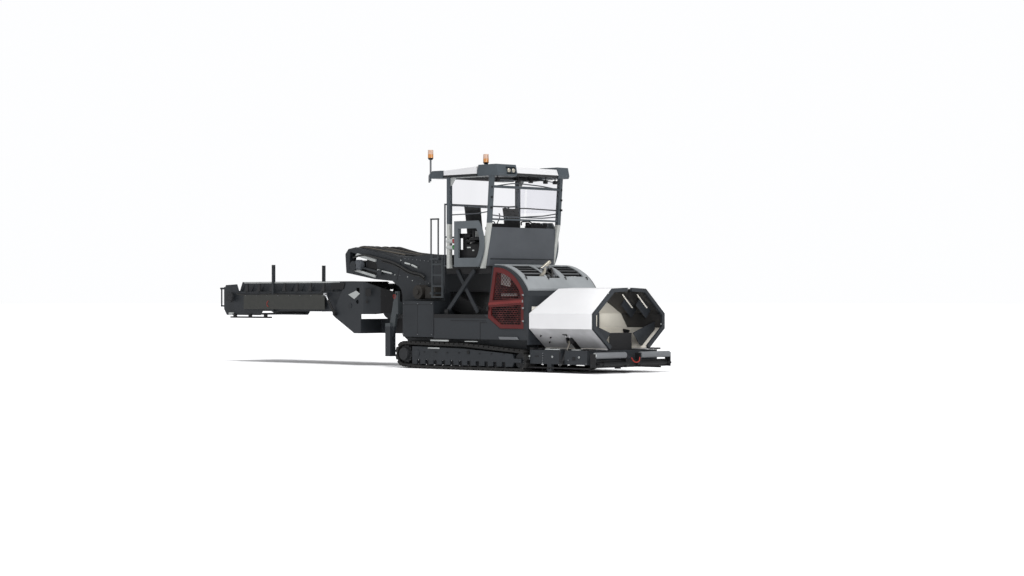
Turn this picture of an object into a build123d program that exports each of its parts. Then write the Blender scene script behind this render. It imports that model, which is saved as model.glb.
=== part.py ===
import math
import os

from build123d import *

# Asphalt feeder, in millimetres. X runs forward, Y to the machine's left, Z up from the ground.
SIDES = (("right", -1), ("left", 1))
RUN = 0.3  # running clearance between moving faces
PIN_FIT = 0.1  # radial clearance of a pin in its bore
GAP = 6.0  # clear gap round moving panels

# Tracks
TRACK_OUT = 1250.0
TRACK_WIDTH = 305.0
PAD_HEIGHT = 38.0
BAND = 40.0
PAD_COUNT = 56
PAD_LENGTH = 128.0
SPROCKET_X, SPROCKET_Z, SPROCKET_R = 780.0, 345.0, 310.0
IDLER_X, IDLER_R = 4700.0, 255.0
CARRIER_X, CARRIER_Z, CARRIER_R = 2840.0, 375.0, 255.0
FIRST_ROLLER_X, ROLLER_PITCH, ROLLER_COUNT = 1290.0, 290.0, 11
ROLLER_R = 80.0
HUB_OUT = 1275.0
HUB_R = 150.0
SPROCKET_TEETH = 13

# Track frames
FRAME_PLATE = 40.0
FRAME_OUT = 1235.0
FRAME_IN = 985.0
FRAME_REAR, FRAME_FRONT = 1060.0, 4480.0
FRAME_LOW = 110.0
WEB_LOW = 255.0
NOTCH_WIDTH, NOTCH_TOP = 120.0, 215.0

# Chassis
HULL_HALF = 930.0
HULL_REAR, HULL_FRONT, HULL_LOW = 560.0, 4640.0, 250.0
DECK_LOW, DECK_TOP = 730.0, 1310.0
DECK_HALF = 1195.0
DECK_REAR, DECK_FRONT = 1770.0, 4960.0
DECK_KNEE, DECK_STEP = (3500.0, DECK_TOP), (4045.0, 965.0)
BODY_REAR = 250.0
BODY_HALF = 820.0

# Main conveyor: a flat run in the hopper, then a straight climb to the head drum
BELT_LOW_X, BELT_LOW_Z = 4700.0, 480.0
HEAD_DRUM_X, HEAD_DRUM_Z, HEAD_DRUM_R = -1450.0, 2500.0, 130.0
BELT_THICK = 60.0
BELT_HALF = 520.0
TUNNEL_HALF = 600.0
TUNNEL_UNDER, TUNNEL_OVER = BELT_THICK + RUN, 320.0
HEAD_UNDER, HEAD_OVER = 130.0, 260.0
HOUSING_WALL = 25.0
HOPPER_FLOOR_FRONT = 6700.0

# Neck and discharge head
NECK_TOP = 2750.0
NECK_REAR = -50.0
HEAD_REAR = -1900.0

# Side boxes
BOX_REAR, BOX_FRONT, BOX_LOW, BOX_TOP, BOX_OUT = 660.0, 1770.0, 760.0, 1620.0, 1200.0

# Hood and doors
HOOD_HALF = 1200.0
HOOD_WALL = 40.0
HOOD_REAR_X, HOOD_NOSE_X = 3800.0, 4960.0
HOOD_ARC_X, HOOD_ARC_Z, HOOD_ARC_R = 3870.0, 1270.0, 1190.0
HOOD_LOW = 620.0
DOOR_PANE = 8.0
DOOR_HINGE_X, DOOR_HINGE_Y = 4815.0, 1214.0
KNUCKLE_R, KNUCKLE_HEIGHT, LEAF, LEAF_LENGTH = 11.0, 34.0, 12.0, 35.0
DOOR_KNUCKLES = (1150.0, 1450.0, 1750.0)
LOUVRE_COUNT = 9
ENGINE_LOW, ENGINE_TOP = 1250.0, 1900.0
EXHAUST_R = 48.0
EXHAUST_BASE = (4390.0, -200.0, ENGINE_TOP)
EXHAUST_KNEE = (4390.0, -200.0, 2360.0)
EXHAUST_TIP = (4390.0, 90.0, 2540.0)

# Hopper wings, as (distance from the middle, height) of each fold
WING_HINGE = (660.0, 545.0)
WING_LOW_FOLD = (1200.0, 1000.0)
WING_HIGH_FOLD = (1200.0, 1345.0)
WING_SHOULDER = (550.0, 1910.0)
WING_LIP = (75.0, 1930.0)
WING_SKIN = 30.0
WING_REAR, WING_FRONT = 4985.0, 7000.0
WING_SLANT = 310.0
FLANGE_DEPTH, FLANGE_LENGTH = 85.0, 60.0

# Wing cylinders
CYL_X = 6030.0
CYL_BASE = (1190.0, 240.0)
CYL_EYE = (940.0, 705.0)
CYL_BARREL_R, CYL_ROD_R, CYL_BARREL_LENGTH = 42.0, 22.0, 300.0
CYL_BORE_START, CYL_ROD_START = 60.0, 270.0
CYL_EYE_HALF, CYL_FOOT_R, CYL_EYE_R = 48.0, 50.0, 30.0
CHEEK, CHEEK_HALF, CHEEK_REACH = 14.0, 42.0, 120.0

# Front frame and push beam
FRONT_HALF = 1180.0
FRONT_REAR, FRONT_FRONT = 4640.0, 6780.0
FRONT_LOW, FRONT_TOP = 200.0, 515.0
FOOT_X, FOOT_LOW = 5600.0, 40.0
FOOT_EYE_Z, FOOT_EYE_R = 105.0, 25.0
BEAM_PIN_X, BEAM_PIN_R = 6880.0, 45.0
BEAM_REAR, BEAM_FRONT, BEAM_LOW, BEAM_TOP = 6960.0, 7040.0, 140.0, 305.0
PUSH_X, PUSH_Z, PUSH_R = 7075.0, 415.0, 70.0
PUSH_IN, PUSH_OUT, PUSH_AXLE_R = 255.0, 1240.0, 25.0
ROLLER_EAR = 30.0
HITCH_X, HITCH_Z, HITCH_R = 7110.0, 225.0, 48.0
HITCH_TIP_X = 7200.0

# Rear legs and slew joint
LEG_Y = 1100.0
LASH_REAR = (375.0, 1790.0, 30.0)
SLEW_X, SLEW_PIN_R = -200.0, 70.0
LUG_THICK, LUG_HALF = 60.0, 170.0
SLEW_LOW, SLEW_HIGH = 800.0, 1180.0

# Operator's platform
FLOOR_LOW, FLOOR_TOP = 2430.0, 2480.0
FLOOR_REAR, FLOOR_FRONT = 2000.0, 3540.0
POST_HALF = 1150.0
POST = 95.0
FLOOR_HALF = POST_HALF - POST / 2
PANEL_TOP = 3360.0
PANEL_LEAN = 60.0
ROOF_LOW, ROOF_TOP = 4560.0, 4790.0
ROOF_REAR, ROOF_FRONT, ROOF_HALF = 1690.0, 3960.0, 1200.0
POD_REAR, POD_FRONT, POD_TOP = 2570.0, 3550.0, 3510.0
POD_IN, POD_OUT = 1215.0, 1275.0
GLASS = 8.0
RAIL_R = 19.0
MAST_TOP = 5240.0

# Scissor lift
SCISSOR_LOW_FRONT_X, SCISSOR_LOW_REAR_X, SCISSOR_LOW_Z = 3080.0, 2120.0, 1385.0
SCISSOR_TOP_FRONT_X, SCISSOR_TOP_REAR_X, SCISSOR_TOP_Z = 3010.0, 2420.0, 2330.0
ARM_HALF = 48.0
ARM_THICK = 38.0
ARM_GAP = 8.0
RAIL_OUT = 985.0

# Ladders
LADDER_X, LADDER_WIDTH = 1960.0, 350.0
LADDER_Y = 1240.0
LADDER_LOW, LADDER_TOP, RUNG_PITCH = 1700.0, 2720.0, 260.0
HOOP_TOP = 3580.0

# Swing frame and tail conveyor
SWING_HALF, SWING_PLATE = 870.0, 25.0
SWING_TOP = 2100.0
TAIL_HALF = 820.0
TAIL_WALL = 22.0
TAIL_LOW, TAIL_SIDE_TOP, TAIL_SKIRT_TOP = 1350.0, 1850.0, 2120.0
TAIL_FRONT, TAIL_REAR = -1150.0, -6900.0
TAIL_HINGE_X, TAIL_HINGE_Z, TAIL_HINGE_R = -1650.0, 1500.0, 60.0
TAIL_DRUM_X, TAIL_DRUM_Z, TAIL_DRUM_R = -6600.0, 1720.0, 150.0
TAIL_NOSE_X, TAIL_NOSE_Z, TAIL_NOSE_R = -1380.0, 1600.0, 110.0
TAIL_TIP = -7200.0
TAIL_POST_X, TAIL_POST_TOP = -4740.0, 2560.0
SKIRT_RIBS = 11
LIFT_BASE = (-2190.0, 1290.0)
LIFT_EYE = (-2560.0, 1790.0)
LIFT_Y, LIFT_R, LIFT_ROD_R = 925.0, 34.0, 18.0
LIFT_BARREL_LENGTH, LIFT_ROD_START = 430.0, 130.0
LIFT_EYE_HALF = 35.0


def side_plate(points, y_from, y_to, mode=Mode.ADD):
    """Extrude an outline of the X-Z plane across the machine, from one Y to the other."""
    with BuildSketch(Plane.XZ.offset(-y_from)) as outline:
        with BuildLine():
            Polyline(*points, close=True)
        make_face()
    extrude(outline.sketch, amount=y_from - y_to, mode=mode)


def cross_plate(points, x_from, x_to, mode=Mode.ADD):
    """Extrude an outline of the Y-Z plane along the machine, from one X to the other."""
    with BuildSketch(Plane.YZ.offset(x_from)) as outline:
        with BuildLine():
            Polyline(*points, close=True)
        make_face()
    extrude(outline.sketch, amount=x_to - x_from, mode=mode)


def plan_plate(points, z_from, z_to, mode=Mode.ADD):
    """Extrude an outline of the X-Y plane upwards, from one Z to the other."""
    with BuildSketch(Plane.XY.offset(z_from)) as outline:
        with BuildLine():
            Polyline(*points, close=True)
        make_face()
    extrude(outline.sketch, amount=z_to - z_from, mode=mode)


def bowed_sketch(points, bow, y):
    """An outline of the X-Z plane at one Y, whose last edge bows through a point."""
    with BuildSketch(Plane.XZ.offset(-y)) as outline:
        with BuildLine():
            Polyline(*points)
            ThreePointArc(points[-1], bow, points[0])
        make_face()
    return outline.sketch


def bowed_plate(points, bow, y_from, y_to, mode=Mode.ADD):
    """Extrude an outline with a bowed last edge across the machine, from one Y to the other."""
    extrude(bowed_sketch(points, bow, y_from), amount=y_from - y_to, mode=mode)


def block(x_span, y_span, z_span, mode=Mode.ADD):
    """A square block between two values of X, Y and Z."""
    middle = tuple(sum(span) / 2 for span in (x_span, y_span, z_span))
    with Locations(middle):
        Box(*(abs(span[1] - span[0]) for span in (x_span, y_span, z_span)), mode=mode)


def rod(start, end, radius, mode=Mode.ADD):
    """A round bar from one point to another."""
    reach = Vector(*end) - Vector(*start)
    with Locations(Plane(origin=start, z_dir=reach)):
        Cylinder(radius, reach.length, align=(Align.CENTER, Align.CENTER, Align.MIN), mode=mode)


def keep(piece, name):
    """Label a finished piece and write it as its own file."""
    piece.part.label = name
    export_step(piece.part, f"parts/{name}.step")


def mirrored(points, sign):
    """Give a half outline of (distance from the middle, height) its sign of Y."""
    return [(sign * distance, height) for distance, height in points]


def belt_z(x):
    """Height of the main belt's carrying face at a place along the machine."""
    climb = (HEAD_DRUM_Z + HEAD_DRUM_R - BELT_LOW_Z) / (BELT_LOW_X - HEAD_DRUM_X)
    return BELT_LOW_Z + max(0.0, BELT_LOW_X - x) * climb


def belt_strip(x_from, x_to, under, over):
    """Outline of a strip that follows the climbing belt, from under to over its face."""
    return [
        (x_from, belt_z(x_from) - under),
        (x_to, belt_z(x_to) - under),
        (x_to, belt_z(x_to) + over),
        (x_from, belt_z(x_from) + over),
    ]


os.makedirs("parts", exist_ok=True)

# Wheels of the track loop, as (x, z, radius to the pads' faces)
LOOP = (
    (SPROCKET_X, SPROCKET_Z, SPROCKET_R),
    (CARRIER_X, CARRIER_Z, CARRIER_R),
    (IDLER_X, IDLER_R, IDLER_R),
    (FIRST_ROLLER_X, IDLER_R, IDLER_R),
)


def loop_face(inset, y):
    """Hull round the loop's wheels, drawn inside the pads' faces by the inset."""
    with BuildSketch(Plane.XZ.offset(-y)) as hull:
        for x, z, radius in LOOP:
            with Locations((x, z)):
                Circle(radius - inset)
        make_hull()
    return hull.sketch


# Tracks: a closed band with one rubber pad after another round it
for side, sign in SIDES:
    near = sign * TRACK_OUT
    far = sign * (TRACK_OUT - TRACK_WIDTH)
    middle_y = (near + far) / 2
    with BuildPart() as track:
        extrude(loop_face(PAD_HEIGHT, near), amount=near - far)
        extrude(loop_face(PAD_HEIGHT + BAND, near), amount=near - far, mode=Mode.SUBTRACT)
        path = loop_face(PAD_HEIGHT, middle_y).face().outer_wire()
        centre = path.center()
        pads = []
        for number in range(PAD_COUNT):
            place = path @ (number / PAD_COUNT)
            along = path % (number / PAD_COUNT)
            out = along.cross(Vector(0, 1, 0))
            if out.dot(place - centre) < 0:
                out = -out
            pads.append(Plane(origin=place, x_dir=along, z_dir=out))
        with Locations(*pads):
            Box(PAD_LENGTH, TRACK_WIDTH, 2 * PAD_HEIGHT)
        block((0, IDLER_X + 2 * IDLER_R), (near, far), (-PAD_HEIGHT, 0), Mode.SUBTRACT)
    keep(track, f"track_{side}")

ROLLER_Z = PAD_HEIGHT + BAND + ROLLER_R + RUN
ROLLER_PLACES = [FIRST_ROLLER_X + number * ROLLER_PITCH for number in range(ROLLER_COUNT)]
PLATE_OUTLINE = [
    (FRAME_REAR, SPROCKET_Z + 190),
    (CARRIER_X, CARRIER_Z + 130),
    (FRAME_FRONT, IDLER_R + 150),
    (FRAME_FRONT + 40, IDLER_R + 45),
    (IDLER_X + 60, IDLER_R + 45),
    (IDLER_X + 60, IDLER_R - 45),
    (FRAME_FRONT + 40, IDLER_R - 45),
    (FRAME_FRONT, FRAME_LOW),
    (FRAME_REAR, FRAME_LOW),
]
WEB_OUTLINE = [
    (FRAME_REAR, SPROCKET_Z + 190),
    (CARRIER_X, CARRIER_Z + 130),
    (FRAME_FRONT, IDLER_R + 150),
    (FRAME_FRONT, WEB_LOW),
    (FRAME_REAR, WEB_LOW),
]
FRAME_STUBS = ((1500.0, 1800.0), (3500.0, 3800.0))
BOSS_X, BOSS_Z, BOSS_R, BOSS_PROUD = 1230.0, 370.0, 90.0, 12.0

# Track frames: two plates under a web, open below for the rollers
with BuildPart() as track_frames:
    for side, sign in SIDES:
        side_plate(PLATE_OUTLINE, sign * FRAME_OUT, sign * (FRAME_OUT - FRAME_PLATE))
        side_plate(PLATE_OUTLINE, sign * FRAME_IN, sign * (FRAME_IN + FRAME_PLATE))
        side_plate(WEB_OUTLINE, sign * FRAME_OUT, sign * FRAME_IN)
        for stub in FRAME_STUBS:
            block(stub, (sign * FRAME_IN, sign * HULL_HALF), (WEB_LOW, WEB_LOW + 200))
        for x in ROLLER_PLACES:
            notch = (x - NOTCH_WIDTH / 2, x + NOTCH_WIDTH / 2)
            for plate in (FRAME_OUT, FRAME_IN + FRAME_PLATE):
                wall = (sign * plate, sign * (plate - FRAME_PLATE))
                block(notch, wall, (FRAME_LOW, NOTCH_TOP), Mode.SUBTRACT)
        rod((BOSS_X, sign * FRAME_OUT, BOSS_Z), (BOSS_X, sign * (FRAME_OUT + BOSS_PROUD), BOSS_Z), BOSS_R)
keep(track_frames, "track_frames")

WHEEL_IN = FRAME_IN + FRAME_PLATE + 12
WHEEL_OUT = FRAME_OUT - FRAME_PLATE - 12
SPROCKET_FACE = SPROCKET_R - PAD_HEIGHT - BAND - RUN
TOOTH_GAP = 34.0
AXLE_R = 30.0

# Running gear: sprockets with their drives, idlers, bottom rollers
with BuildPart() as running_gear:
    for side, sign in SIDES:
        wheel = (sign * WHEEL_IN, sign * WHEEL_OUT)
        shaft = (sign * (FRAME_IN + FRAME_PLATE), sign * (FRAME_OUT - FRAME_PLATE))
        rod((SPROCKET_X, wheel[0], SPROCKET_Z), (SPROCKET_X, wheel[1], SPROCKET_Z), SPROCKET_FACE)
        with BuildSketch(Plane.XZ.offset(-sign * WHEEL_IN)) as tooth_gaps:
            with Locations((SPROCKET_X, SPROCKET_Z)):
                with PolarLocations(SPROCKET_FACE, SPROCKET_TEETH):
                    Circle(TOOTH_GAP)
        extrude(tooth_gaps.sketch, amount=sign * (WHEEL_IN - WHEEL_OUT), mode=Mode.SUBTRACT)
        rod((SPROCKET_X, sign * HULL_HALF, SPROCKET_Z), (SPROCKET_X, sign * HUB_OUT, SPROCKET_Z), HUB_R)
        rod((IDLER_X, wheel[0], IDLER_R), (IDLER_X, wheel[1], IDLER_R), IDLER_R - PAD_HEIGHT - BAND - RUN)
        rod((IDLER_X, shaft[0], IDLER_R), (IDLER_X, shaft[1], IDLER_R), AXLE_R)
        for x in ROLLER_PLACES:
            rod((x, wheel[0], ROLLER_Z), (x, wheel[1], ROLLER_Z), ROLLER_R)
            block((x - AXLE_R, x + AXLE_R), wheel, (ROLLER_Z, WEB_LOW))
keep(running_gear, "running_gear")

HULL_OUTLINE = [
    (HULL_REAR, HULL_LOW + 60),
    (HULL_REAR + 250, HULL_LOW),
    (HULL_FRONT, HULL_LOW),
    (HULL_FRONT, DECK_LOW),
    (HULL_REAR, DECK_LOW),
]
DECK_OUTLINE = [
    (DECK_REAR, DECK_LOW),
    (DECK_FRONT - HOOD_WALL, DECK_LOW),
    (DECK_FRONT - HOOD_WALL, DECK_STEP[1]),
    DECK_STEP,
    DECK_KNEE,
    (DECK_REAR, DECK_TOP),
]
BODY_OUTLINE = [
    (HULL_REAR - 60, DECK_LOW - 100),
    (DECK_REAR, DECK_LOW - 100),
    (DECK_REAR, DECK_TOP),
    (BODY_REAR, DECK_TOP),
    (BODY_REAR, DECK_LOW + 60),
]
HOUSING_OVER = TUNNEL_OVER + HOUSING_WALL
# Feet of the scissor arms, as (x, inner face, outward direction)
SCISSOR_FEET = (
    (SCISSOR_LOW_FRONT_X, RAIL_OUT, -1),
    (SCISSOR_LOW_REAR_X, RAIL_OUT + 2 * ARM_THICK + ARM_GAP, 1),
)
FOOT_HALF, FOOT_OVER = 60.0, 35.0

# Chassis frame: hull between the tracks, deck over them, conveyor housing and slew lugs
with BuildPart() as chassis_frame:
    side_plate(HULL_OUTLINE, -HULL_HALF, HULL_HALF)
    side_plate(BODY_OUTLINE, -BODY_HALF, BODY_HALF)
    side_plate(DECK_OUTLINE, -DECK_HALF, DECK_HALF)
    housing_half = TUNNEL_HALF + HOUSING_WALL
    side_plate(belt_strip(DECK_REAR, BELT_LOW_X, TUNNEL_UNDER, HOUSING_OVER), -housing_half, housing_half)
    for x_from, x_to in ((BODY_REAR, BELT_LOW_X), (BELT_LOW_X, DECK_FRONT)):
        tunnel = belt_strip(x_from, x_to, TUNNEL_UNDER, TUNNEL_OVER)
        side_plate(tunnel, -TUNNEL_HALF, TUNNEL_HALF, Mode.SUBTRACT)
    for low in (SLEW_LOW - LUG_THICK, SLEW_HIGH):
        with BuildSketch(Plane.XY.offset(low)) as lug:
            with Locations((SLEW_X, 0)):
                Circle(LUG_HALF)
            with Locations(((SLEW_X + BODY_REAR + 200) / 2, 0)):
                Rectangle(BODY_REAR + 200 - SLEW_X, 2 * LUG_HALF)
        extrude(lug.sketch, amount=LUG_THICK)
    rod((SLEW_X, 0, SLEW_LOW - LUG_THICK), (SLEW_X, 0, SLEW_HIGH + LUG_THICK), SLEW_PIN_R)
    for sign in (-1, 1):
        for x, face, outward in SCISSOR_FEET:
            foot = (sign * face, sign * (face + outward * ARM_THICK))
            block((x - FOOT_HALF, x + FOOT_HALF), foot, (DECK_TOP, SCISSOR_LOW_Z + FOOT_OVER))
keep(chassis_frame, "chassis_frame")

NECK_OUTLINE = [
    (DECK_REAR, DECK_TOP),
    (DECK_REAR, NECK_TOP - 15),
    (1330.0, NECK_TOP),
    (230.0, NECK_TOP - 60),
    (NECK_REAR, NECK_TOP - 60),
    (NECK_REAR - 70, 2115.0),
    (-10.0, 2045.0),
    (120.0, 1985.0),
    (210.0, 1890.0),
    (BODY_REAR, 1750.0),
    (BODY_REAR, DECK_TOP),
]

# Conveyor neck: the tall casing that carries the belt out of the body
with BuildPart() as conveyor_neck:
    side_plate(NECK_OUTLINE, -BODY_HALF, BODY_HALF)
    tunnel = belt_strip(NECK_REAR - 100, DECK_REAR, TUNNEL_UNDER, TUNNEL_OVER)
    side_plate(tunnel, -TUNNEL_HALF, TUNNEL_HALF, Mode.SUBTRACT)
keep(conveyor_neck, "conveyor_neck")

HEAD_OUTLINE = [
    (NECK_REAR, NECK_TOP - 60),
    (-1500.0, 2970.0),
    (-1780.0, 2930.0),
    (HEAD_REAR, 2800.0),
    (HEAD_REAR + 40, 2330.0),
    (-790.0, 2165.0),
    (NECK_REAR - 70, 2115.0),
]
HEAD_WINDOW = [
    (-1720.0, 2860.0),
    (-1020.0, 2700.0),
    (-1120.0, 2560.0),
    (-1060.0, 2330.0),
    (-1740.0, 2430.0),
]
HEAD_MOUTH = [(HEAD_REAR - 10, 2250.0), (-1180.0, 2130.0), (-1100.0, 2330.0), (HEAD_REAR - 10, 2560.0)]
MOTOR_R, MOTOR_OUT = 120.0, 960.0
TAKE_UP_R = 26.0
TAKE_UP_FRONT = (-520.0, 2330.0)
BRACKET = 60.0

# Discharge head: open side windows, a drum on a through shaft with a motor at each end
with BuildPart() as discharge_head:
    side_plate(HEAD_OUTLINE, -BODY_HALF, BODY_HALF)
    tunnel = belt_strip(HEAD_REAR - 20, NECK_REAR + 20, HEAD_UNDER, HEAD_OVER)
    side_plate(tunnel, -TUNNEL_HALF, TUNNEL_HALF, Mode.SUBTRACT)
    side_plate(HEAD_MOUTH, -TUNNEL_HALF, TUNNEL_HALF, Mode.SUBTRACT)
    side_plate(HEAD_WINDOW, -BODY_HALF, BODY_HALF, Mode.SUBTRACT)
    rod((HEAD_DRUM_X, -MOTOR_OUT, HEAD_DRUM_Z), (HEAD_DRUM_X, MOTOR_OUT, HEAD_DRUM_Z), MOTOR_R)
    rod((HEAD_DRUM_X, -BELT_HALF, HEAD_DRUM_Z), (HEAD_DRUM_X, BELT_HALF, HEAD_DRUM_Z), HEAD_DRUM_R)
    for sign in (-1, 1):
        eye_y = sign * (BODY_HALF + TAKE_UP_R + 10)
        rod((HEAD_DRUM_X, eye_y, HEAD_DRUM_Z), (TAKE_UP_FRONT[0], eye_y, TAKE_UP_FRONT[1]), TAKE_UP_R)
        x, z = TAKE_UP_FRONT
        bracket = (sign * BODY_HALF, sign * (BODY_HALF + 3 * TAKE_UP_R))
        block((x - BRACKET, x + BRACKET), bracket, (z - BRACKET, z + BRACKET))
keep(discharge_head, "discharge_head")

BELT_END = HEAD_DRUM_X + HEAD_DRUM_R + 15
BELT_FRONT = HOPPER_FLOOR_FRONT - 60

# Main belt: carrying and return runs as one flat strip, from the hopper to the head drum
with BuildPart() as main_belt:
    strip = belt_strip(BELT_END, BELT_LOW_X, BELT_THICK, 0)
    flat = [(BELT_FRONT, BELT_LOW_Z - BELT_THICK), (BELT_FRONT, BELT_LOW_Z)]
    side_plate(strip[:2] + flat + strip[2:], -BELT_HALF, BELT_HALF)
keep(main_belt, "main_belt")

# Side boxes over the rear of the tracks
with BuildPart() as side_boxes:
    for sign in (-1, 1):
        block((BOX_REAR, BOX_FRONT), (sign * BODY_HALF, sign * BOX_OUT), (BOX_LOW, BOX_TOP))
    fillet(side_boxes.edges().filter_by(Axis.Z).group_by(Axis.X)[0], 40)
keep(side_boxes, "side_boxes")

LEG_REAR, LEG_FRONT, LEG_HALF = 30.0, 210.0, 35.0
LEG_PLATE = [
    (LEG_REAR + 20, 740.0),
    (LEG_FRONT + 30, 740.0),
    (430.0, 1560.0),
    (430.0, 1860.0),
    (330.0, 1860.0),
]

# Rear legs: a square sleeve under a tapered plate on each rear corner
with BuildPart() as rear_legs:
    for sign in (-1, 1):
        block((LEG_REAR, LEG_FRONT), (sign * (LEG_Y - 90), sign * (LEG_Y + 90)), (270.0, 1080.0))
        side_plate(LEG_PLATE, sign * (LEG_Y - LEG_HALF), sign * (LEG_Y + LEG_HALF))
        block((BODY_REAR, 430.0), (sign * BODY_HALF, sign * (LEG_Y + LEG_HALF)), (1300.0, 1600.0))
        x, z, radius = LASH_REAR
        rod((x, sign * (LEG_Y - LEG_HALF), z), (x, sign * (LEG_Y + LEG_HALF), z), radius, Mode.SUBTRACT)
keep(rear_legs, "rear_legs")


def hood_z(x, inset=0.0):
    """Height of the hood's arch at a place along the machine, or of one drawn inside it by the inset."""
    return HOOD_ARC_Z + math.sqrt((HOOD_ARC_R - inset) ** 2 - (x - HOOD_ARC_X) ** 2)


def arched_plate(rest, x_rear, x_front, inset, y_from, y_to, mode=Mode.ADD):
    """Extrude the space under the hood's arch, closed below by an outline from front to rear."""
    ends = [(x, hood_z(x, inset)) for x in (x_front, x_rear)]
    middle = (x_rear + x_front) / 2
    bowed_plate([ends[0]] + rest + [ends[1]], (middle, hood_z(middle, inset)), y_from, y_to, mode)


HOOD_LOWER = [
    (HOOD_NOSE_X, HOOD_LOW),
    (HOOD_NOSE_X - HOOD_WALL, HOOD_LOW),
    (HOOD_NOSE_X - HOOD_WALL, DECK_STEP[1]),
    DECK_STEP,
    DECK_KNEE,
    (3640.0, DECK_TOP),
    (3650.0, 1490.0),
]
HOOD_INSIDE = [(HOOD_NOSE_X - HOOD_WALL, HOOD_LOW), (3690.0, HOOD_LOW), (3690.0, 1490.0)]
DOOR_EDGE = 4800.0
DOOR_OUTLINE = [
    (DOOR_EDGE, 1800.0),
    (DOOR_EDGE, 990.0),
    (4045.0, 990.0),
    (3640.0, 1235.0),
    (3655.0, 1490.0),
    (3840.0, 2405.0),
]
DOOR_BOW = (4450.0, 2235.0)
UPPER_PANE = [(4720.0, 1740.0), (4720.0, 1680.0), (3790.0, 1640.0), (3900.0, 2290.0)]
UPPER_PANE_BOW = (4390.0, 2140.0)
LOWER_PANE = [(3740.0, 1480.0), (4720.0, 1540.0), (4720.0, 1080.0), (4080.0, 1080.0), (3740.0, 1290.0)]
TOP_SKIN = 25.0
LOUVRE_X, LOUVRE_LENGTH = 4090.0, 560.0
LOUVRE_SPANS = ((-980.0, -330.0), (330.0, 980.0))
LOUVRE_CUT = (1900.0, HOOD_ARC_Z + HOOD_ARC_R + 2 * TOP_SKIN)
WELL_X, WELL_Y = (4230.0, 4690.0), (-270.0, 150.0)


def knuckle_point(sign, z):
    """A point on a hood door's hinge line."""
    return (DOOR_HINGE_X, sign * DOOR_HINGE_Y, z)


# Hood shell: sides round the doors, rear wall and front panel
with BuildPart() as hood_shell:
    arched_plate(HOOD_LOWER, HOOD_REAR_X, HOOD_NOSE_X, 0, -HOOD_HALF, HOOD_HALF)
    inner = (HOOD_WALL - HOOD_HALF, HOOD_HALF - HOOD_WALL)
    ends = (HOOD_REAR_X + HOOD_WALL, HOOD_NOSE_X - HOOD_WALL)
    arched_plate(HOOD_INSIDE, *ends, HOOD_WALL, *inner, Mode.SUBTRACT)
    mouth = (HOOD_NOSE_X - HOOD_WALL - 1, HOOD_NOSE_X + 1)
    block(mouth, (-TUNNEL_HALF, TUNNEL_HALF), (HOOD_LOW - 1, BELT_LOW_Z + TUNNEL_OVER), Mode.SUBTRACT)
    for sign in (-1, 1):
        with BuildSketch(Plane.XZ.offset(-sign * (HOOD_HALF + 1))) as doorway:
            with BuildLine():
                Polyline(*DOOR_OUTLINE)
                ThreePointArc(DOOR_OUTLINE[-1], DOOR_BOW, DOOR_OUTLINE[0])
            make_face()
            offset(amount=GAP)
        extrude(doorway.sketch, amount=sign * (HOOD_WALL + 2), mode=Mode.SUBTRACT)
        for z in DOOR_KNUCKLES:
            leaf = (sign * HOOD_HALF, sign * (HOOD_HALF + LEAF))
            block((DOOR_HINGE_X, DOOR_HINGE_X + LEAF_LENGTH), leaf, (z - KNUCKLE_HEIGHT, z))
            rod(knuckle_point(sign, z - KNUCKLE_HEIGHT), knuckle_point(sign, z), KNUCKLE_R)
    for span in LOUVRE_SPANS:
        block((LOUVRE_X, LOUVRE_X + LOUVRE_LENGTH), span, LOUVRE_CUT, Mode.SUBTRACT)
    block(WELL_X, WELL_Y, LOUVRE_CUT, Mode.SUBTRACT)
keep(hood_shell, "hood_shell")

TOP_FRONT, TOP_LOW = HOOD_NOSE_X - 60, 1600.0

# Hood top: a pale skin over the arch of the shell, open over the two louvre banks and the exhaust's well
with BuildPart() as hood_top:
    skin = (60 - HOOD_HALF, HOOD_HALF - 60)
    outer = [(TOP_FRONT, TOP_LOW), (HOOD_REAR_X, TOP_LOW)]
    arched_plate(outer, HOOD_REAR_X, TOP_FRONT, -TOP_SKIN, *skin)
    under = [(HOOD_NOSE_X, TOP_LOW - 1), (HOOD_REAR_X - 1, TOP_LOW - 1)]
    arched_plate(under, HOOD_REAR_X - 1, HOOD_NOSE_X, -RUN, *skin, Mode.SUBTRACT)
    for span in LOUVRE_SPANS:
        block((LOUVRE_X, LOUVRE_X + LOUVRE_LENGTH), span, LOUVRE_CUT, Mode.SUBTRACT)
    block(WELL_X, WELL_Y, LOUVRE_CUT, Mode.SUBTRACT)
keep(hood_top, "hood_top")

# Hood louvres: sloping slats across each opening
with BuildPart() as hood_louvres:
    for span in LOUVRE_SPANS:
        for number in range(LOUVRE_COUNT):
            x = LOUVRE_X + (number + 0.5) * LOUVRE_LENGTH / LOUVRE_COUNT
            z = hood_z(x)
            slat = [(x - 22, z - 34), (x + 6, z - 34), (x + 22, z + 8), (x - 6, z + 8)]
            side_plate(slat, *span)
keep(hood_louvres, "hood_louvres")

# Engine: one plain block on its bearers inside the hood
with BuildPart() as engine:
    block((3850.0, 4750.0), (-420.0, 420.0), (ENGINE_LOW, ENGINE_TOP))
    block((4100.0, 4700.0), (-760.0, 760.0), (ENGINE_LOW - 60, ENGINE_LOW))
    for sign in (-1, 1):
        block((4100.0, 4700.0), (sign * 660.0, sign * 760.0), (DECK_STEP[1], ENGINE_LOW - 60))
keep(engine, "engine")

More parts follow.
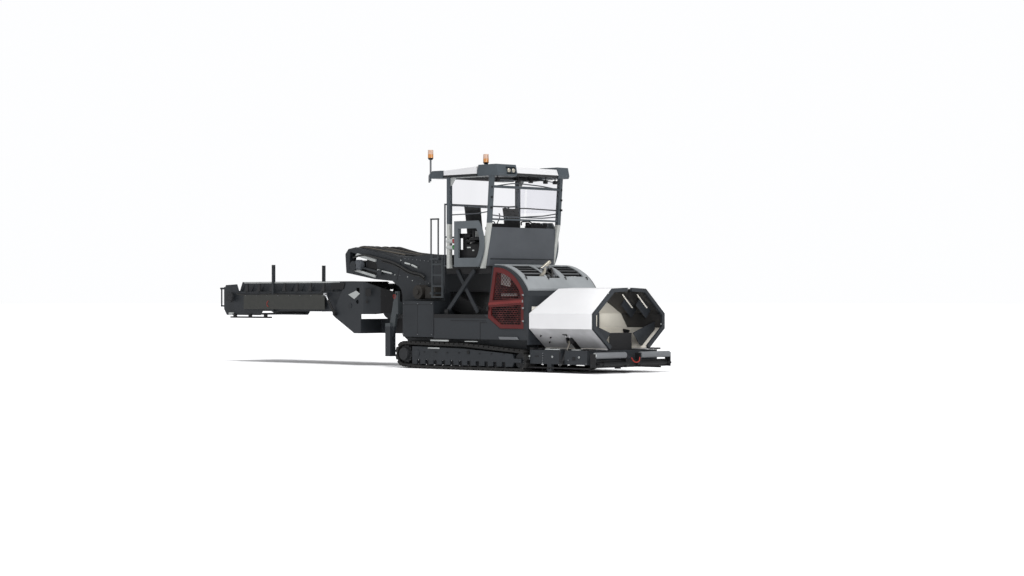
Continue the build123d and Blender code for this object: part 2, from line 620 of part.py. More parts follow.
# Exhaust: a bent pipe out of the hood's middle
with BuildPart() as exhaust:
    with BuildLine() as exhaust_line:
        FilletPolyline(EXHAUST_BASE, EXHAUST_KNEE, EXHAUST_TIP, radius=110)
    with BuildSketch(Plane(origin=EXHAUST_BASE, z_dir=(0, 0, 1))):
        Circle(EXHAUST_R)
    sweep()
keep(exhaust, "exhaust")

# Hood doors: a framed plate with two thin mesh panes, hinged on the front edge
for side, sign in SIDES:
    with BuildPart() as door:
        faces = (sign * HOOD_HALF, sign * (HOOD_HALF - HOOD_WALL))
        mesh = (sign * (HOOD_HALF - 20), sign * (HOOD_HALF - 20 - DOOR_PANE))
        bowed_plate(DOOR_OUTLINE, DOOR_BOW, *faces)
        bowed_plate(UPPER_PANE, UPPER_PANE_BOW, *faces, Mode.SUBTRACT)
        bowed_plate(UPPER_PANE, UPPER_PANE_BOW, *mesh)
        side_plate(LOWER_PANE, *faces, Mode.SUBTRACT)
        side_plate(LOWER_PANE, *mesh)
        bar = [(3660.0, 1530.0), (4790.0, 1595.0), (4790.0, 1655.0), (3670.0, 1590.0)]
        side_plate(bar, sign * HOOD_HALF, sign * (HOOD_HALF + LEAF))
        for z in DOOR_KNUCKLES:
            span = (z + RUN, z + KNUCKLE_HEIGHT)
            block((DOOR_EDGE - LEAF_LENGTH, DOOR_EDGE), (sign * HOOD_HALF, sign * DOOR_HINGE_Y), span)
            block((DOOR_EDGE - 1, DOOR_HINGE_X), (sign * (HOOD_HALF + GAP), sign * DOOR_HINGE_Y), span)
            rod(knuckle_point(sign, span[0]), knuckle_point(sign, span[1]), KNUCKLE_R)
    keep(door, f"door_{side}")


WING_FOLDS = (WING_HINGE, WING_LOW_FOLD, WING_HIGH_FOLD, WING_SHOULDER, WING_LIP)
WING_SLOPE = (WING_LOW_FOLD[1] - WING_HINGE[1]) / (WING_LOW_FOLD[0] - WING_HINGE[0])
APRON_X, APRON_THICK = 6740.0, 20.0


def wing_floor_face(distance):
    """Height of the lower plate's inner face at a distance from the middle."""
    rise = (distance - WING_HINGE[0]) * WING_SLOPE
    return WING_HINGE[1] + rise + WING_SKIN * math.hypot(1, WING_SLOPE) + RUN


def wing_sheet(first, last, sign, x_from, x_to, thickness):
    """Part of the folded wing, mitred at its folds, with its thickness inside the folds."""
    inner = []
    for number, (distance, height) in enumerate(WING_FOLDS):
        here = Vector(distance, height)
        before = Vector(*WING_FOLDS[max(number - 1, 0)])
        after = Vector(*WING_FOLDS[min(number + 1, len(WING_FOLDS) - 1)])
        arriving = (here - before if number else after - here).normalized()
        leaving = (after - here if after != here else here - before).normalized()
        normal = Vector(-arriving.Y, arriving.X) + Vector(-leaving.Y, leaving.X)
        scale = 2 * thickness / normal.dot(normal)
        inner.append((distance + normal.X * scale, height + normal.Y * scale))
    outline = list(WING_FOLDS[first:last]) + inner[first:last][::-1]
    cross_plate(mirrored(outline, sign), x_from, x_to)


APRON_OUTLINE = [
    (1130.0, 1160.0),
    (385.0, 905.0),
    (600.0, 640.0),
    (690.0, wing_floor_face(690.0)),
    (1130.0, wing_floor_face(1130.0)),
]
HINGE_PIN_R = 22.0
HINGE_SPAN = (5020.0, 6900.0)
FLAP_PLACES = (6220.0, 6670.0)
FLAP_THICK, FLAP_START, FLAP_WIDTH, FLAP_DEPTH = 15.0, 250.0, 465.0, 250.0


def flap_outline():
    """A plate square to the upper panel's inner face, set out from the shoulder along the panel."""
    along = (Vector(*WING_HIGH_FOLD) - Vector(*WING_SHOULDER)).normalized()
    inward = Vector(along.Y, -along.X)
    corners = ((FLAP_START, 0), (FLAP_START + FLAP_WIDTH, 0), (FLAP_START + FLAP_WIDTH, FLAP_DEPTH))
    points = []
    for reach, depth in corners + ((FLAP_START, FLAP_DEPTH),):
        point = Vector(*WING_SHOULDER) + along * reach + inward * (WING_SKIN + depth)
        points.append((point.X, point.Y))
    return points


# Hopper wings: pale folded skin, lower plate on the hinge, dark front flange with an apron and inner flaps
for side, sign in SIDES:
    with BuildPart() as wing_skin:
        wing_sheet(1, 5, sign, WING_REAR, WING_FRONT - FLANGE_LENGTH, WING_SKIN)
        slant = [
            (WING_REAR - 1, WING_HIGH_FOLD[1]),
            (WING_REAR + WING_SLANT, WING_SHOULDER[1]),
            (WING_REAR + WING_SLANT, WING_LIP[1] + 50),
            (WING_REAR - 1, WING_LIP[1] + 50),
        ]
        side_plate(slant, 0, sign * (WING_LOW_FOLD[0] + 10), Mode.SUBTRACT)
    keep(wing_skin, f"wing_skin_{side}")

    with BuildPart() as wing_floor:
        wing_sheet(0, 2, sign, WING_REAR, WING_FRONT - FLANGE_LENGTH, WING_SKIN)
        hinge_y = sign * WING_HINGE[0]
        rod((HINGE_SPAN[0], hinge_y, WING_HINGE[1]), (HINGE_SPAN[1], hinge_y, WING_HINGE[1]), HINGE_PIN_R)
        across, up = CYL_EYE
        ends = [(y, wing_floor_face(y) - WING_SKIN) for y in (across + CHEEK_REACH, across - CHEEK_REACH)]
        cheek = [(across - CHEEK_HALF, up - CHEEK_HALF), (across + CHEEK_HALF, up - CHEEK_HALF)] + ends
        for face in (CYL_X - CYL_EYE_HALF - RUN - CHEEK, CYL_X + CYL_EYE_HALF + RUN):
            cross_plate(mirrored(cheek, sign), face, face + CHEEK)
    keep(wing_floor, f"wing_floor_{side}")

    with BuildPart() as wing_flange:
        wing_sheet(0, 5, sign, WING_FRONT - FLANGE_LENGTH, WING_FRONT, FLANGE_DEPTH)
        cross_plate(mirrored(APRON_OUTLINE, sign), APRON_X, APRON_X + APRON_THICK)
        for x in FLAP_PLACES:
            cross_plate(mirrored(flap_outline(), sign), x, x + FLAP_THICK)
    keep(wing_flange, f"wing_flange_{side}")

FRONT_CHANNEL = 630.0
FRONT_STEP = 4990.0
POCKET_DEPTH = 75.0
CHANNEL_FLOOR = BELT_LOW_Z - BELT_THICK - RUN

# Front frame: the low box under the hopper that carries the wings' hinges and the push beam's pin
with BuildPart() as front_frame:
    block((FRONT_REAR, FRONT_STEP), (5 - HULL_HALF, HULL_HALF - 5), (FRONT_LOW, FRONT_TOP))
    block((FRONT_STEP, FRONT_FRONT), (-FRONT_HALF, FRONT_HALF), (FRONT_LOW, FRONT_TOP))
    channel = (-FRONT_CHANNEL, FRONT_CHANNEL)
    block((FRONT_REAR, HOPPER_FLOOR_FRONT), channel, (CHANNEL_FLOOR, FRONT_TOP), Mode.SUBTRACT)
    for sign in (-1, 1):
        foot = (sign * (FRONT_HALF - 90), sign * FRONT_HALF)
        block((FOOT_X - 60, FOOT_X + 60), foot, (FOOT_LOW, FRONT_LOW))
        rod((FOOT_X, foot[0], FOOT_EYE_Z), (FOOT_X, foot[1], FOOT_EYE_Z), FOOT_EYE_R, Mode.SUBTRACT)
        bay = (CYL_X - CYL_EYE_HALF - RUN, CYL_X + CYL_EYE_HALF + RUN)
        block(bay, (sign * (CYL_EYE[0] + 20), sign * FRONT_HALF), (FRONT_LOW, FRONT_TOP), Mode.SUBTRACT)
        wide = (bay[0] - CHEEK - GAP, bay[1] + CHEEK + GAP)
        pocket = (sign * (CYL_EYE[0] - CHEEK_HALF - GAP), sign * FRONT_HALF)
        block(wide, pocket, (FRONT_TOP - POCKET_DEPTH, FRONT_TOP), Mode.SUBTRACT)
        rest = WING_HINGE[1] - HINGE_PIN_R - RUN
        block(HINGE_SPAN, (sign * (WING_HINGE[0] - 25), sign * (WING_HINGE[0] + 25)), (FRONT_TOP, rest))
    block((FRONT_FRONT, BEAM_PIN_X + 60), (-150.0, 150.0), (BEAM_TOP + 15, BEAM_TOP + 75))
    block((FRONT_FRONT - 120, BEAM_PIN_X + 60), (-150.0, 150.0), (BEAM_LOW + 30, BEAM_LOW + 60))
    rod((BEAM_PIN_X, 0, BEAM_LOW + 60), (BEAM_PIN_X, 0, BEAM_TOP + 15), BEAM_PIN_R)
keep(front_frame, "front_frame")

# Hopper front wall: the fixed dark plate with a pale ledge between the aprons
with BuildPart() as hopper_front_wall:
    block((HOPPER_FLOOR_FRONT, HOPPER_FLOOR_FRONT + 25), (-365.0, 365.0), (FRONT_TOP, 885.0))
    block((HOPPER_FLOOR_FRONT - 160, HOPPER_FLOOR_FRONT + 25), (-365.0, 365.0), (885.0, 905.0))
keep(hopper_front_wall, "hopper_front_wall")

CHUTE_REAR, CHUTE_FRONT, CHUTE_LOW = HOOD_NOSE_X, 5500.0, 525.0
CHUTE_IN, CHUTE_OUT = 560.0, 585.0
CHUTE_SIDE = [
    (CHUTE_REAR, CHUTE_LOW),
    (CHUTE_REAR, 1650.0),
    (CHUTE_REAR + 40, 1650.0),
    (CHUTE_FRONT, 820.0),
    (CHUTE_FRONT, CHUTE_LOW),
]

# Hopper chute: the lined rear corner plates that lead into the tunnel
with BuildPart() as hopper_chute:
    for sign in (-1, 1):
        side_plate(CHUTE_SIDE, sign * CHUTE_IN, sign * CHUTE_OUT)
        block((CHUTE_REAR, CHUTE_REAR + 20), (sign * CHUTE_OUT, sign * 1090.0), (1000.0, 1500.0))
keep(hopper_chute, "hopper_chute")

CYL_AXIS = (Vector(0, CYL_EYE[0], CYL_EYE[1]) - Vector(0, CYL_BASE[0], CYL_BASE[1])).normalized()


def cylinder_point(sign, distance):
    """A point on a wing cylinder's axis, by its distance from the base pin."""
    return (CYL_X, sign * (CYL_BASE[0] + CYL_AXIS.Y * distance), CYL_BASE[1] + CYL_AXIS.Z * distance)


CYL_LENGTH = math.dist(CYL_BASE, CYL_EYE)

# Wing cylinders: a bored barrel with its foot, and a rod with its eye
for side, sign in SIDES:
    with BuildPart() as wing_barrel:
        rod(cylinder_point(sign, 0), cylinder_point(sign, CYL_BARREL_LENGTH), CYL_BARREL_R)
        bore = (cylinder_point(sign, CYL_BORE_START), cylinder_point(sign, CYL_BARREL_LENGTH + 1))
        rod(*bore, CYL_ROD_R + RUN, Mode.SUBTRACT)
        foot = cylinder_point(sign, 0)
        rod((CYL_X - CYL_EYE_HALF, foot[1], foot[2]), (CYL_X + CYL_EYE_HALF, foot[1], foot[2]), CYL_FOOT_R)
    keep(wing_barrel, f"wing_barrel_{side}")

    with BuildPart() as wing_rod:
        rod(cylinder_point(sign, CYL_ROD_START), cylinder_point(sign, CYL_LENGTH), CYL_ROD_R)
        eye = cylinder_point(sign, CYL_LENGTH)
        rod((CYL_X - CYL_EYE_HALF, eye[1], eye[2]), (CYL_X + CYL_EYE_HALF, eye[1], eye[2]), CYL_EYE_R)
    keep(wing_rod, f"wing_rod_{side}")

BEAM_HALF = 1235.0

# Push beam: crossbar on its middle pin, ears for the rollers, hitch bar with its tips
with BuildPart() as push_beam:
    block((BEAM_REAR, BEAM_FRONT), (-BEAM_HALF, BEAM_HALF), (BEAM_LOW, BEAM_TOP))
    tongue = (BEAM_LOW + 60 + 5, BEAM_TOP + 15 - 5)
    with BuildSketch(Plane.XY.offset(tongue[0])) as beam_tongue:
        with Locations((BEAM_PIN_X, 0)):
            Circle(BEAM_PIN_R + 40)
        with Locations(((BEAM_PIN_X + BEAM_REAR) / 2 + 20, 0)):
            Rectangle(BEAM_REAR - BEAM_PIN_X + 40, 2 * (BEAM_PIN_R + 40))
    extrude(beam_tongue.sketch, amount=tongue[1] - tongue[0])
    rod((BEAM_PIN_X, 0, BEAM_LOW), (BEAM_PIN_X, 0, BEAM_TOP + 20), BEAM_PIN_R + PIN_FIT, Mode.SUBTRACT)
    for sign in (-1, 1):
        for inner in (PUSH_IN - ROLLER_EAR - 5, PUSH_OUT + 5):
            ear = (sign * inner, sign * (inner + ROLLER_EAR))
            block((BEAM_REAR, PUSH_X + 40), ear, (BEAM_LOW, PUSH_Z + 40))
            block((PUSH_X - 40, PUSH_X + 40), ear, (BEAM_LOW + 40, PUSH_Z + 40))
        rod((HITCH_X - 40, sign * 150, HITCH_Z), (HITCH_X - 40, sign * 980, HITCH_Z), HITCH_R)
        rod((HITCH_X - 40, sign * 980, HITCH_Z), (HITCH_X - 40, sign * 1180, HITCH_Z), HITCH_R * 0.7)
        rod((HITCH_X - 60, sign * 1180, HITCH_Z), (HITCH_TIP_X, sign * 1180, HITCH_Z), HITCH_R * 0.5)
        rod((PUSH_X, sign * (PUSH_IN - 6), PUSH_Z), (PUSH_X, sign * (PUSH_OUT + 6), PUSH_Z), PUSH_AXLE_R)
keep(push_beam, "push_beam")

# Push rollers: tubes on through axles
for side, sign in SIDES:
    with BuildPart() as push_roller:
        rod((PUSH_X, sign * PUSH_IN, PUSH_Z), (PUSH_X, sign * PUSH_OUT, PUSH_Z), PUSH_R)
        ends = (sign * (PUSH_IN - 1), sign * (PUSH_OUT + 1))
        rod((PUSH_X, ends[0], PUSH_Z), (PUSH_X, ends[1], PUSH_Z), PUSH_AXLE_R + PIN_FIT, Mode.SUBTRACT)
    keep(push_roller, f"push_roller_{side}")

LIFT_RAIL_LOW = 2270.0

# Platform tub: floor on two lift rails, and the leaning front panel
with BuildPart() as platform_tub:
    block((FLOOR_REAR, FLOOR_FRONT), (-FLOOR_HALF, FLOOR_HALF), (FLOOR_LOW, FLOOR_TOP))
    for sign in (-1, 1):
        rail = (sign * (RAIL_OUT - 60), sign * RAIL_OUT)
        block((FLOOR_REAR, FLOOR_FRONT), rail, (LIFT_RAIL_LOW, FLOOR_LOW))
    panel = [
        (FLOOR_FRONT - 40, FLOOR_LOW),
        (FLOOR_FRONT + 10, FLOOR_LOW),
        (FLOOR_FRONT + PANEL_LEAN + 10, PANEL_TOP),
        (FLOOR_FRONT + PANEL_LEAN - 40, PANEL_TOP),
    ]
    side_plate(panel, -FLOOR_HALF, FLOOR_HALF)
keep(platform_tub, "platform_tub")

REAR_POST_X = 2280.0
FRONT_POST_LOW = (FLOOR_FRONT - 120, FLOOR_LOW - 40)
FRONT_POST_KNEE = (FLOOR_FRONT + 100, 3450.0)
FRONT_POST_TOP = (FLOOR_FRONT + 180, ROOF_LOW)

# Posts: upright at the rear, leaning at the front, tied by cross bars
with BuildPart() as platform_posts:
    for sign in (-1, 1):
        y_span = (sign * (POST_HALF - POST / 2), sign * (POST_HALF + POST / 2))
        block((REAR_POST_X - POST / 2, REAR_POST_X + POST / 2), y_span, (FLOOR_LOW - 30, ROOF_LOW))
        line = [FRONT_POST_LOW, FRONT_POST_KNEE, FRONT_POST_TOP]
        front = [(x - POST / 2, z) for x, z in line] + [(x + POST / 2, z) for x, z in reversed(line)]
        side_plate(front, *y_span)
    inner = FLOOR_HALF
    for height, thickness in ((4330.0, 60.0), (3560.0, 40.0)):
        share = (height - FRONT_POST_KNEE[1]) / (FRONT_POST_TOP[1] - FRONT_POST_KNEE[1])
        x = FRONT_POST_KNEE[0] + share * (FRONT_POST_TOP[0] - FRONT_POST_KNEE[0])
        block((x - 25, x + 25), (-inner, inner), (height - thickness, height))
keep(platform_posts, "platform_posts")

ROOF_EDGE = [
    (ROOF_REAR, ROOF_LOW + 60),
    (ROOF_REAR + 130, ROOF_TOP - 90),
    (3420.0, ROOF_TOP),
    (ROOF_FRONT - 60, ROOF_TOP - 30),
    (ROOF_FRONT, ROOF_LOW + 60),
    (ROOF_FRONT - 40, ROOF_LOW),
    (ROOF_REAR + 40, ROOF_LOW),
]
ROOF_INSIDE = [
    (ROOF_REAR + 160, ROOF_LOW),
    (ROOF_FRONT - 120, ROOF_LOW),
    (ROOF_FRONT - 140, ROOF_LOW + 90),
    (ROOF_REAR + 190, ROOF_LOW + 90),
]

ROOF_CORNER = (ROOF_REAR - 5, ROOF_REAR + 420, 880.0, ROOF_HALF + 12, ROOF_LOW - 10, ROOF_TOP - 60)
LAMP_BAY_Y, LAMP_BAY_Z, LAMP_BAY_DEPTH = (-910.0, -590.0), (ROOF_LOW + 30, ROOF_TOP - 30), 130.0
LAMP_Y, LAMP_R, LAMP_LENGTH = (-825.0, -675.0), 60.0, 90.0

# Corner blocks of the roof, as (sign of y, rear x, front x, inner y, outer y, low z, top z)
ROOF_BLOCKS = (
    (-1, *ROOF_CORNER),
    (1, *ROOF_CORNER),
    (-1, 3280.0, ROOF_FRONT + 10, 560.0, ROOF_HALF + 12, ROOF_LOW - 10, ROOF_TOP + 25),
    (1, 3280.0, ROOF_FRONT + 10, 840.0, ROOF_HALF + 12, ROOF_LOW - 10, ROOF_TOP + 25),
)

# Roof: a hollow pale canopy, its corners left open for the blocks
with BuildPart() as roof:
    side_plate(ROOF_EDGE, -ROOF_HALF, ROOF_HALF)
    side_plate(ROOF_INSIDE, -ROOF_HALF + 90, ROOF_HALF - 90, Mode.SUBTRACT)
    for sign, rear, front, inner, outer, low, top in ROOF_BLOCKS:
        cut = (sign * inner, sign * (outer + 20))
        block((rear - 20, front + 20), cut, (low - 20, top + 60), Mode.SUBTRACT)
keep(roof, "roof")

# Roof blocks: chamfered corner casings over the posts, with two lamps in a bay at the front
with BuildPart() as roof_blocks:
    for sign, rear, front, inner, outer, low, top in ROOF_BLOCKS:
        shoulder = low + 60
        corner = [(rear, shoulder), (rear + 50, top), (front - 50, top), (front, shoulder)]
        side_plate(corner + [(front - 30, low), (rear + 30, low)], sign * inner, sign * outer)
    bay_rear = ROOF_FRONT - LAMP_BAY_DEPTH
    block((bay_rear, ROOF_FRONT + 20), LAMP_BAY_Y, LAMP_BAY_Z, Mode.SUBTRACT)
    for y in LAMP_Y:
        z = sum(LAMP_BAY_Z) / 2
        rod((bay_rear, y, z), (bay_rear + LAMP_LENGTH, y, z), LAMP_R)
    for sign in (-1, 1):
        post = (sign * (POST_HALF - POST / 2 - 1), sign * (POST_HALF + POST / 2 + 1))
        for x in (REAR_POST_X, FRONT_POST_TOP[0]):
            block((x - POST / 2 - 1, x + POST / 2 + 1), post, (ROOF_LOW - 20, ROOF_LOW), Mode.SUBTRACT)
keep(roof_blocks, "roof_blocks")

PANE_LOW, PANE_TOP = 3560.0, 4270.0
SIDE_PANE = [
    (REAR_POST_X + POST / 2, 3760.0),
    (3604.0, 3760.0),
    (3658.0, 4520.0),
    (REAR_POST_X + POST / 2, 4520.0),
]

# Window panes: one on each side, two in front
with BuildPart() as windows:
    for sign in (-1, 1):
        side_plate(SIDE_PANE, sign * (POST_HALF - GLASS / 2), sign * (POST_HALF + GLASS / 2))
        front = [(3660.0, PANE_LOW), (3668.0, PANE_LOW), (3712.0, PANE_TOP), (3704.0, PANE_TOP)]
        side_plate(front, sign * 40, sign * FLOOR_HALF)
keep(windows, "windows")

SEAT_X, SEAT_Y = 2880.0, 640.0
CUSHION_LOW, CUSHION_TOP, SEAT_TOP = 2880.0, 2990.0, 3720.0

# Seats: cushion, back and pedestal for each of the two drivers
with BuildPart() as seats:
    for sign in (-1, 1):
        y = sign * SEAT_Y
        block((SEAT_X - 260, SEAT_X + 240), (y - 250, y + 250), (CUSHION_LOW, CUSHION_TOP))
        back = [(-260, CUSHION_TOP), (-150, CUSHION_TOP), (-240, SEAT_TOP), (-340, SEAT_TOP)]
        side_plate([(SEAT_X + x, z) for x, z in back], y - 230, y + 230)
        block((SEAT_X - 180, SEAT_X + 160), (y - 160, y + 160), (FLOOR_TOP, CUSHION_LOW))
keep(seats, "seats")

DESK_OUTLINE = [
    (3420.0, FLOOR_TOP),
    (3480.0, FLOOR_TOP),
    (3530.0, 3330.0),
    (3470.0, 3450.0),
    (3240.0, 3360.0),
    (3240.0, 3300.0),
    (3420.0, 3260.0),
]

# Consoles: a sloping desk in front of each seat, joined by a middle cabinet
with BuildPart() as consoles:
    for sign in (-1, 1):
        side_plate(DESK_OUTLINE, sign * 380.0, sign * 900.0)
    block((2700.0, 3440.0), (-260.0, 260.0), (FLOOR_TOP, 3150.0))
keep(consoles, "consoles")

POD_OUTLINE = [
    (POD_FRONT - 180, FLOOR_LOW),
    (POD_REAR, FLOOR_LOW),
    (POD_REAR, POD_TOP),
    (POD_FRONT - 200, POD_TOP),
]
POD_BOW = (POD_FRONT, 2950.0)
POD_WINDOW = [
    (POD_FRONT - 230, 2640.0),
    (POD_REAR + 130, 2640.0),
    (POD_REAR + 130, 3330.0),
    (POD_FRONT - 230, 3330.0),
]
POD_WINDOW_BOW = (POD_FRONT - 120, 2970.0)

# Side pods: rounded shields with a large window outside the floor
with BuildPart() as side_pods:
    for sign in (-1, 1):
        bowed_plate(POD_OUTLINE, POD_BOW, sign * POD_IN, sign * POD_OUT)
        bowed_plate(POD_WINDOW, POD_WINDOW_BOW, sign * POD_IN, sign * POD_OUT, Mode.SUBTRACT)
        block((POD_REAR, POD_FRONT - 180), (sign * FLOOR_HALF, sign * POD_IN), (FLOOR_LOW, FLOOR_LOW + 40))
        block((POD_REAR, POD_REAR + 60), (sign * FLOOR_HALF, sign * POD_IN), (FLOOR_LOW, POD_TOP - 60))
keep(side_pods, "side_pods")

RAIL_REAR_X = FLOOR_REAR + 40
RAIL_TOP = 3950.0

# Handrails: a frame across the rear of the platform and along both rear sides
with BuildPart() as handrails:
    for sign in (-1, 1):
        y = sign * (FLOOR_HALF - 30)
        rod((RAIL_REAR_X, y, FLOOR_TOP), (RAIL_REAR_X, y, RAIL_TOP), RAIL_R)
        for z in (3150.0, RAIL_TOP - RAIL_R):
            rod((RAIL_REAR_X, y, z), (REAR_POST_X, y, z), RAIL_R)
    for z in (3150.0, RAIL_TOP - RAIL_R):
        rod((RAIL_REAR_X, 30 - FLOOR_HALF, z), (RAIL_REAR_X, FLOOR_HALF - 30, z), RAIL_R)
keep(handrails, "handrails")

BEACON_R, BEACON_HEIGHT = 62.0, 190.0
MAST_R = 20.0
MAST_X, MAST_Y, MAST_LOW = ROOF_REAR - 5 - MAST_R - RUN, 1190.0, 4490.0
BEACON_X, BEACON_Y, BEACON_STEM = 3420.0, 1050.0, 60.0

# Beacons: one on a mast at the rear corner, one on the front corner block
with BuildPart() as beacons:
    stem_low = ROOF_BLOCKS[2][6]
    places = (
        (MAST_X, MAST_Y, MAST_LOW, MAST_TOP - BEACON_HEIGHT),
        (BEACON_X, BEACON_Y, stem_low, stem_low + BEACON_STEM),
    )
    for x, y, low, top in places:
        rod((x, -y, low), (x, -y, top), MAST_R)
        rod((x, -y, top), (x, -y, top + BEACON_HEIGHT), BEACON_R)
keep(beacons, "beacons")

# Scissor arms, as (name, low pin x, top pin x, face nearer to the middle)
ARMS = (
    ("scissor_inner", SCISSOR_LOW_FRONT_X, SCISSOR_TOP_REAR_X, RAIL_OUT + RUN),
    ("scissor_outer", SCISSOR_LOW_REAR_X, SCISSOR_TOP_FRONT_X, RAIL_OUT + ARM_THICK + ARM_GAP - RUN),
)
for name, low_x, top_x, face in ARMS:
    with BuildPart() as arms:
        for sign in (-1, 1):
            reach = Vector(top_x - low_x, SCISSOR_TOP_Z - SCISSOR_LOW_Z)
            middle = ((low_x + top_x) / 2, (SCISSOR_LOW_Z + SCISSOR_TOP_Z) / 2)
            lean = math.degrees(math.atan2(reach.Y, reach.X))
            with BuildSketch(Plane.XZ.offset(-sign * face)) as arm:
                with Locations(Location(middle, lean)):
                    SlotCenterToCenter(reach.length, 2 * ARM_HALF)
            extrude(arm.sketch, amount=-sign * ARM_THICK)
    keep(arms, name)

STILE_R = 20.0
HOOP_SPAN = (1735.0, 1985.0)

# Ladders: stiles and rungs on two brackets from the neck, with a hoop rail above
with BuildPart() as ladders:
    for sign in (-1, 1):
        y = sign * LADDER_Y
        bar = (y - STILE_R, y + STILE_R)
        stiles = (LADDER_X - LADDER_WIDTH / 2, LADDER_X + LADDER_WIDTH / 2)
        hoop = (HOOP_SPAN[0] - RAIL_R, HOOP_SPAN[1] + RAIL_R)
        for x in stiles:
            block((x - STILE_R, x + STILE_R), bar, (LADDER_LOW, LADDER_TOP))
        rungs = int((LADDER_TOP - LADDER_LOW) / RUNG_PITCH) + 1
        for number in range(rungs):
            z = LADDER_LOW + 20 + number * RUNG_PITCH
            block(stiles, bar, (z - 18, z + 18))
        for z in (LADDER_LOW + 110, LADDER_TOP - 90):
            block((DECK_REAR - 60, stiles[0]), bar, (z - 25, z + 25))
            block((DECK_REAR - 60, DECK_REAR - 10), (sign * BODY_HALF, y), (z - 25, z + 25))
        for x in HOOP_SPAN:
            rod((x, y, LADDER_TOP - 110), (x, y, HOOP_TOP), RAIL_R)
        rod((hoop[0], y, HOOP_TOP), (hoop[1], y, HOOP_TOP), RAIL_R)
        block(hoop, bar, (LADDER_TOP - 110, LADDER_TOP - 70))
keep(ladders, "ladders")

SWING_REAR, SWING_KNEE, SWING_FRONT, SWING_NOSE = -2450.0, -1150.0, -500.0, 430.0
SWING_SIDE = [
    (-1830.0, SWING_TOP),
    (SWING_KNEE, SWING_TOP),
    (SWING_FRONT, SWING_TOP - 250),
    (SWING_FRONT, 1340.0),
    (-900.0, 1290.0),
    (-1250.0, 1290.0),
    (-1250.0, SLEW_LOW + 10),
    (-1500.0, SLEW_LOW + 10),
    (-2270.0, 1220.0),
    (-2330.0, 1290.0),
    (-2080.0, 1700.0),
]
SWING_WINDOW = ((-1420.0, -1300.0), (1750.0, 1950.0))
SWING_HOLE = (-1380.0, 1600.0, 55.0)
SWING_ARM_HALF = 190.0


def swing_plan(wall):
    """Half-round the swing frame's plan outline, drawn inside by the wall."""
    half, nose = SWING_HALF - wall, SWING_NOSE - wall / 2
    front = SWING_FRONT - wall
    knee = SWING_KNEE - wall / 3
    right = [(SWING_REAR, -half), (knee, -half), (front, -nose)]
    return right + [(x, -y) for x, y in reversed(right)]


# Swing frame: tapered side plates on an arm that turns on the slew pin
with BuildPart() as swing_frame:
    plan_plate(swing_plan(0), SLEW_LOW, SWING_TOP)
    plan_plate(swing_plan(SWING_PLATE), SLEW_LOW, SWING_TOP, Mode.SUBTRACT)
    side_plate(SWING_SIDE, -SWING_HALF, SWING_HALF, Mode.INTERSECT)
    block(SWING_WINDOW[0], (-SWING_HALF, SWING_HALF), SWING_WINDOW[1], Mode.SUBTRACT)
    x, z, radius = SWING_HOLE
    rod((x, -SWING_HALF, z), (x, SWING_HALF, z), radius, Mode.SUBTRACT)
    block((-1500.0, -1250.0), (-SWING_HALF, SWING_HALF), (SLEW_LOW + 10, SLEW_HIGH - 10))
    block((-1500.0, SLEW_X), (-SWING_ARM_HALF, SWING_ARM_HALF), (SLEW_LOW + 10, SLEW_HIGH - 10))
    rod((SLEW_X, 0, SLEW_LOW + 5), (SLEW_X, 0, SLEW_HIGH - 5), SWING_ARM_HALF)
    rod((SLEW_X, 0, SLEW_LOW), (SLEW_X, 0, SLEW_HIGH), SLEW_PIN_R + PIN_FIT, Mode.SUBTRACT)
    x, z = TAIL_HINGE_X, TAIL_HINGE_Z
    rod((x, -SWING_HALF, z), (x, SWING_HALF, z), TAIL_HINGE_R + PIN_FIT, Mode.SUBTRACT)
keep(swing_frame, "swing_frame")

TAIL_PANEL = [
    (TAIL_FRONT, TAIL_LOW),
    (TAIL_FRONT, 1580.0),
    (TAIL_FRONT - 170, TAIL_SIDE_TOP),
    (-6250.0, TAIL_SIDE_TOP),
    (-6350.0, 2060.0),
    (-6820.0, 2040.0),
    (TAIL_REAR, 1900.0),
    (TAIL_REAR, 1400.0),
    (-6780.0, 1240.0),
    (-5350.0, 1240.0),
    (-5250.0, TAIL_LOW),
]
IDLER_ROWS = (-2300.0, -3200.0, -4100.0, -5000.0, -5800.0)
TAIL_CLIMB = (TAIL_DRUM_Z - TAIL_NOSE_Z) / (TAIL_DRUM_X - TAIL_NOSE_X)
TAIL_IDLER_R = 50.0

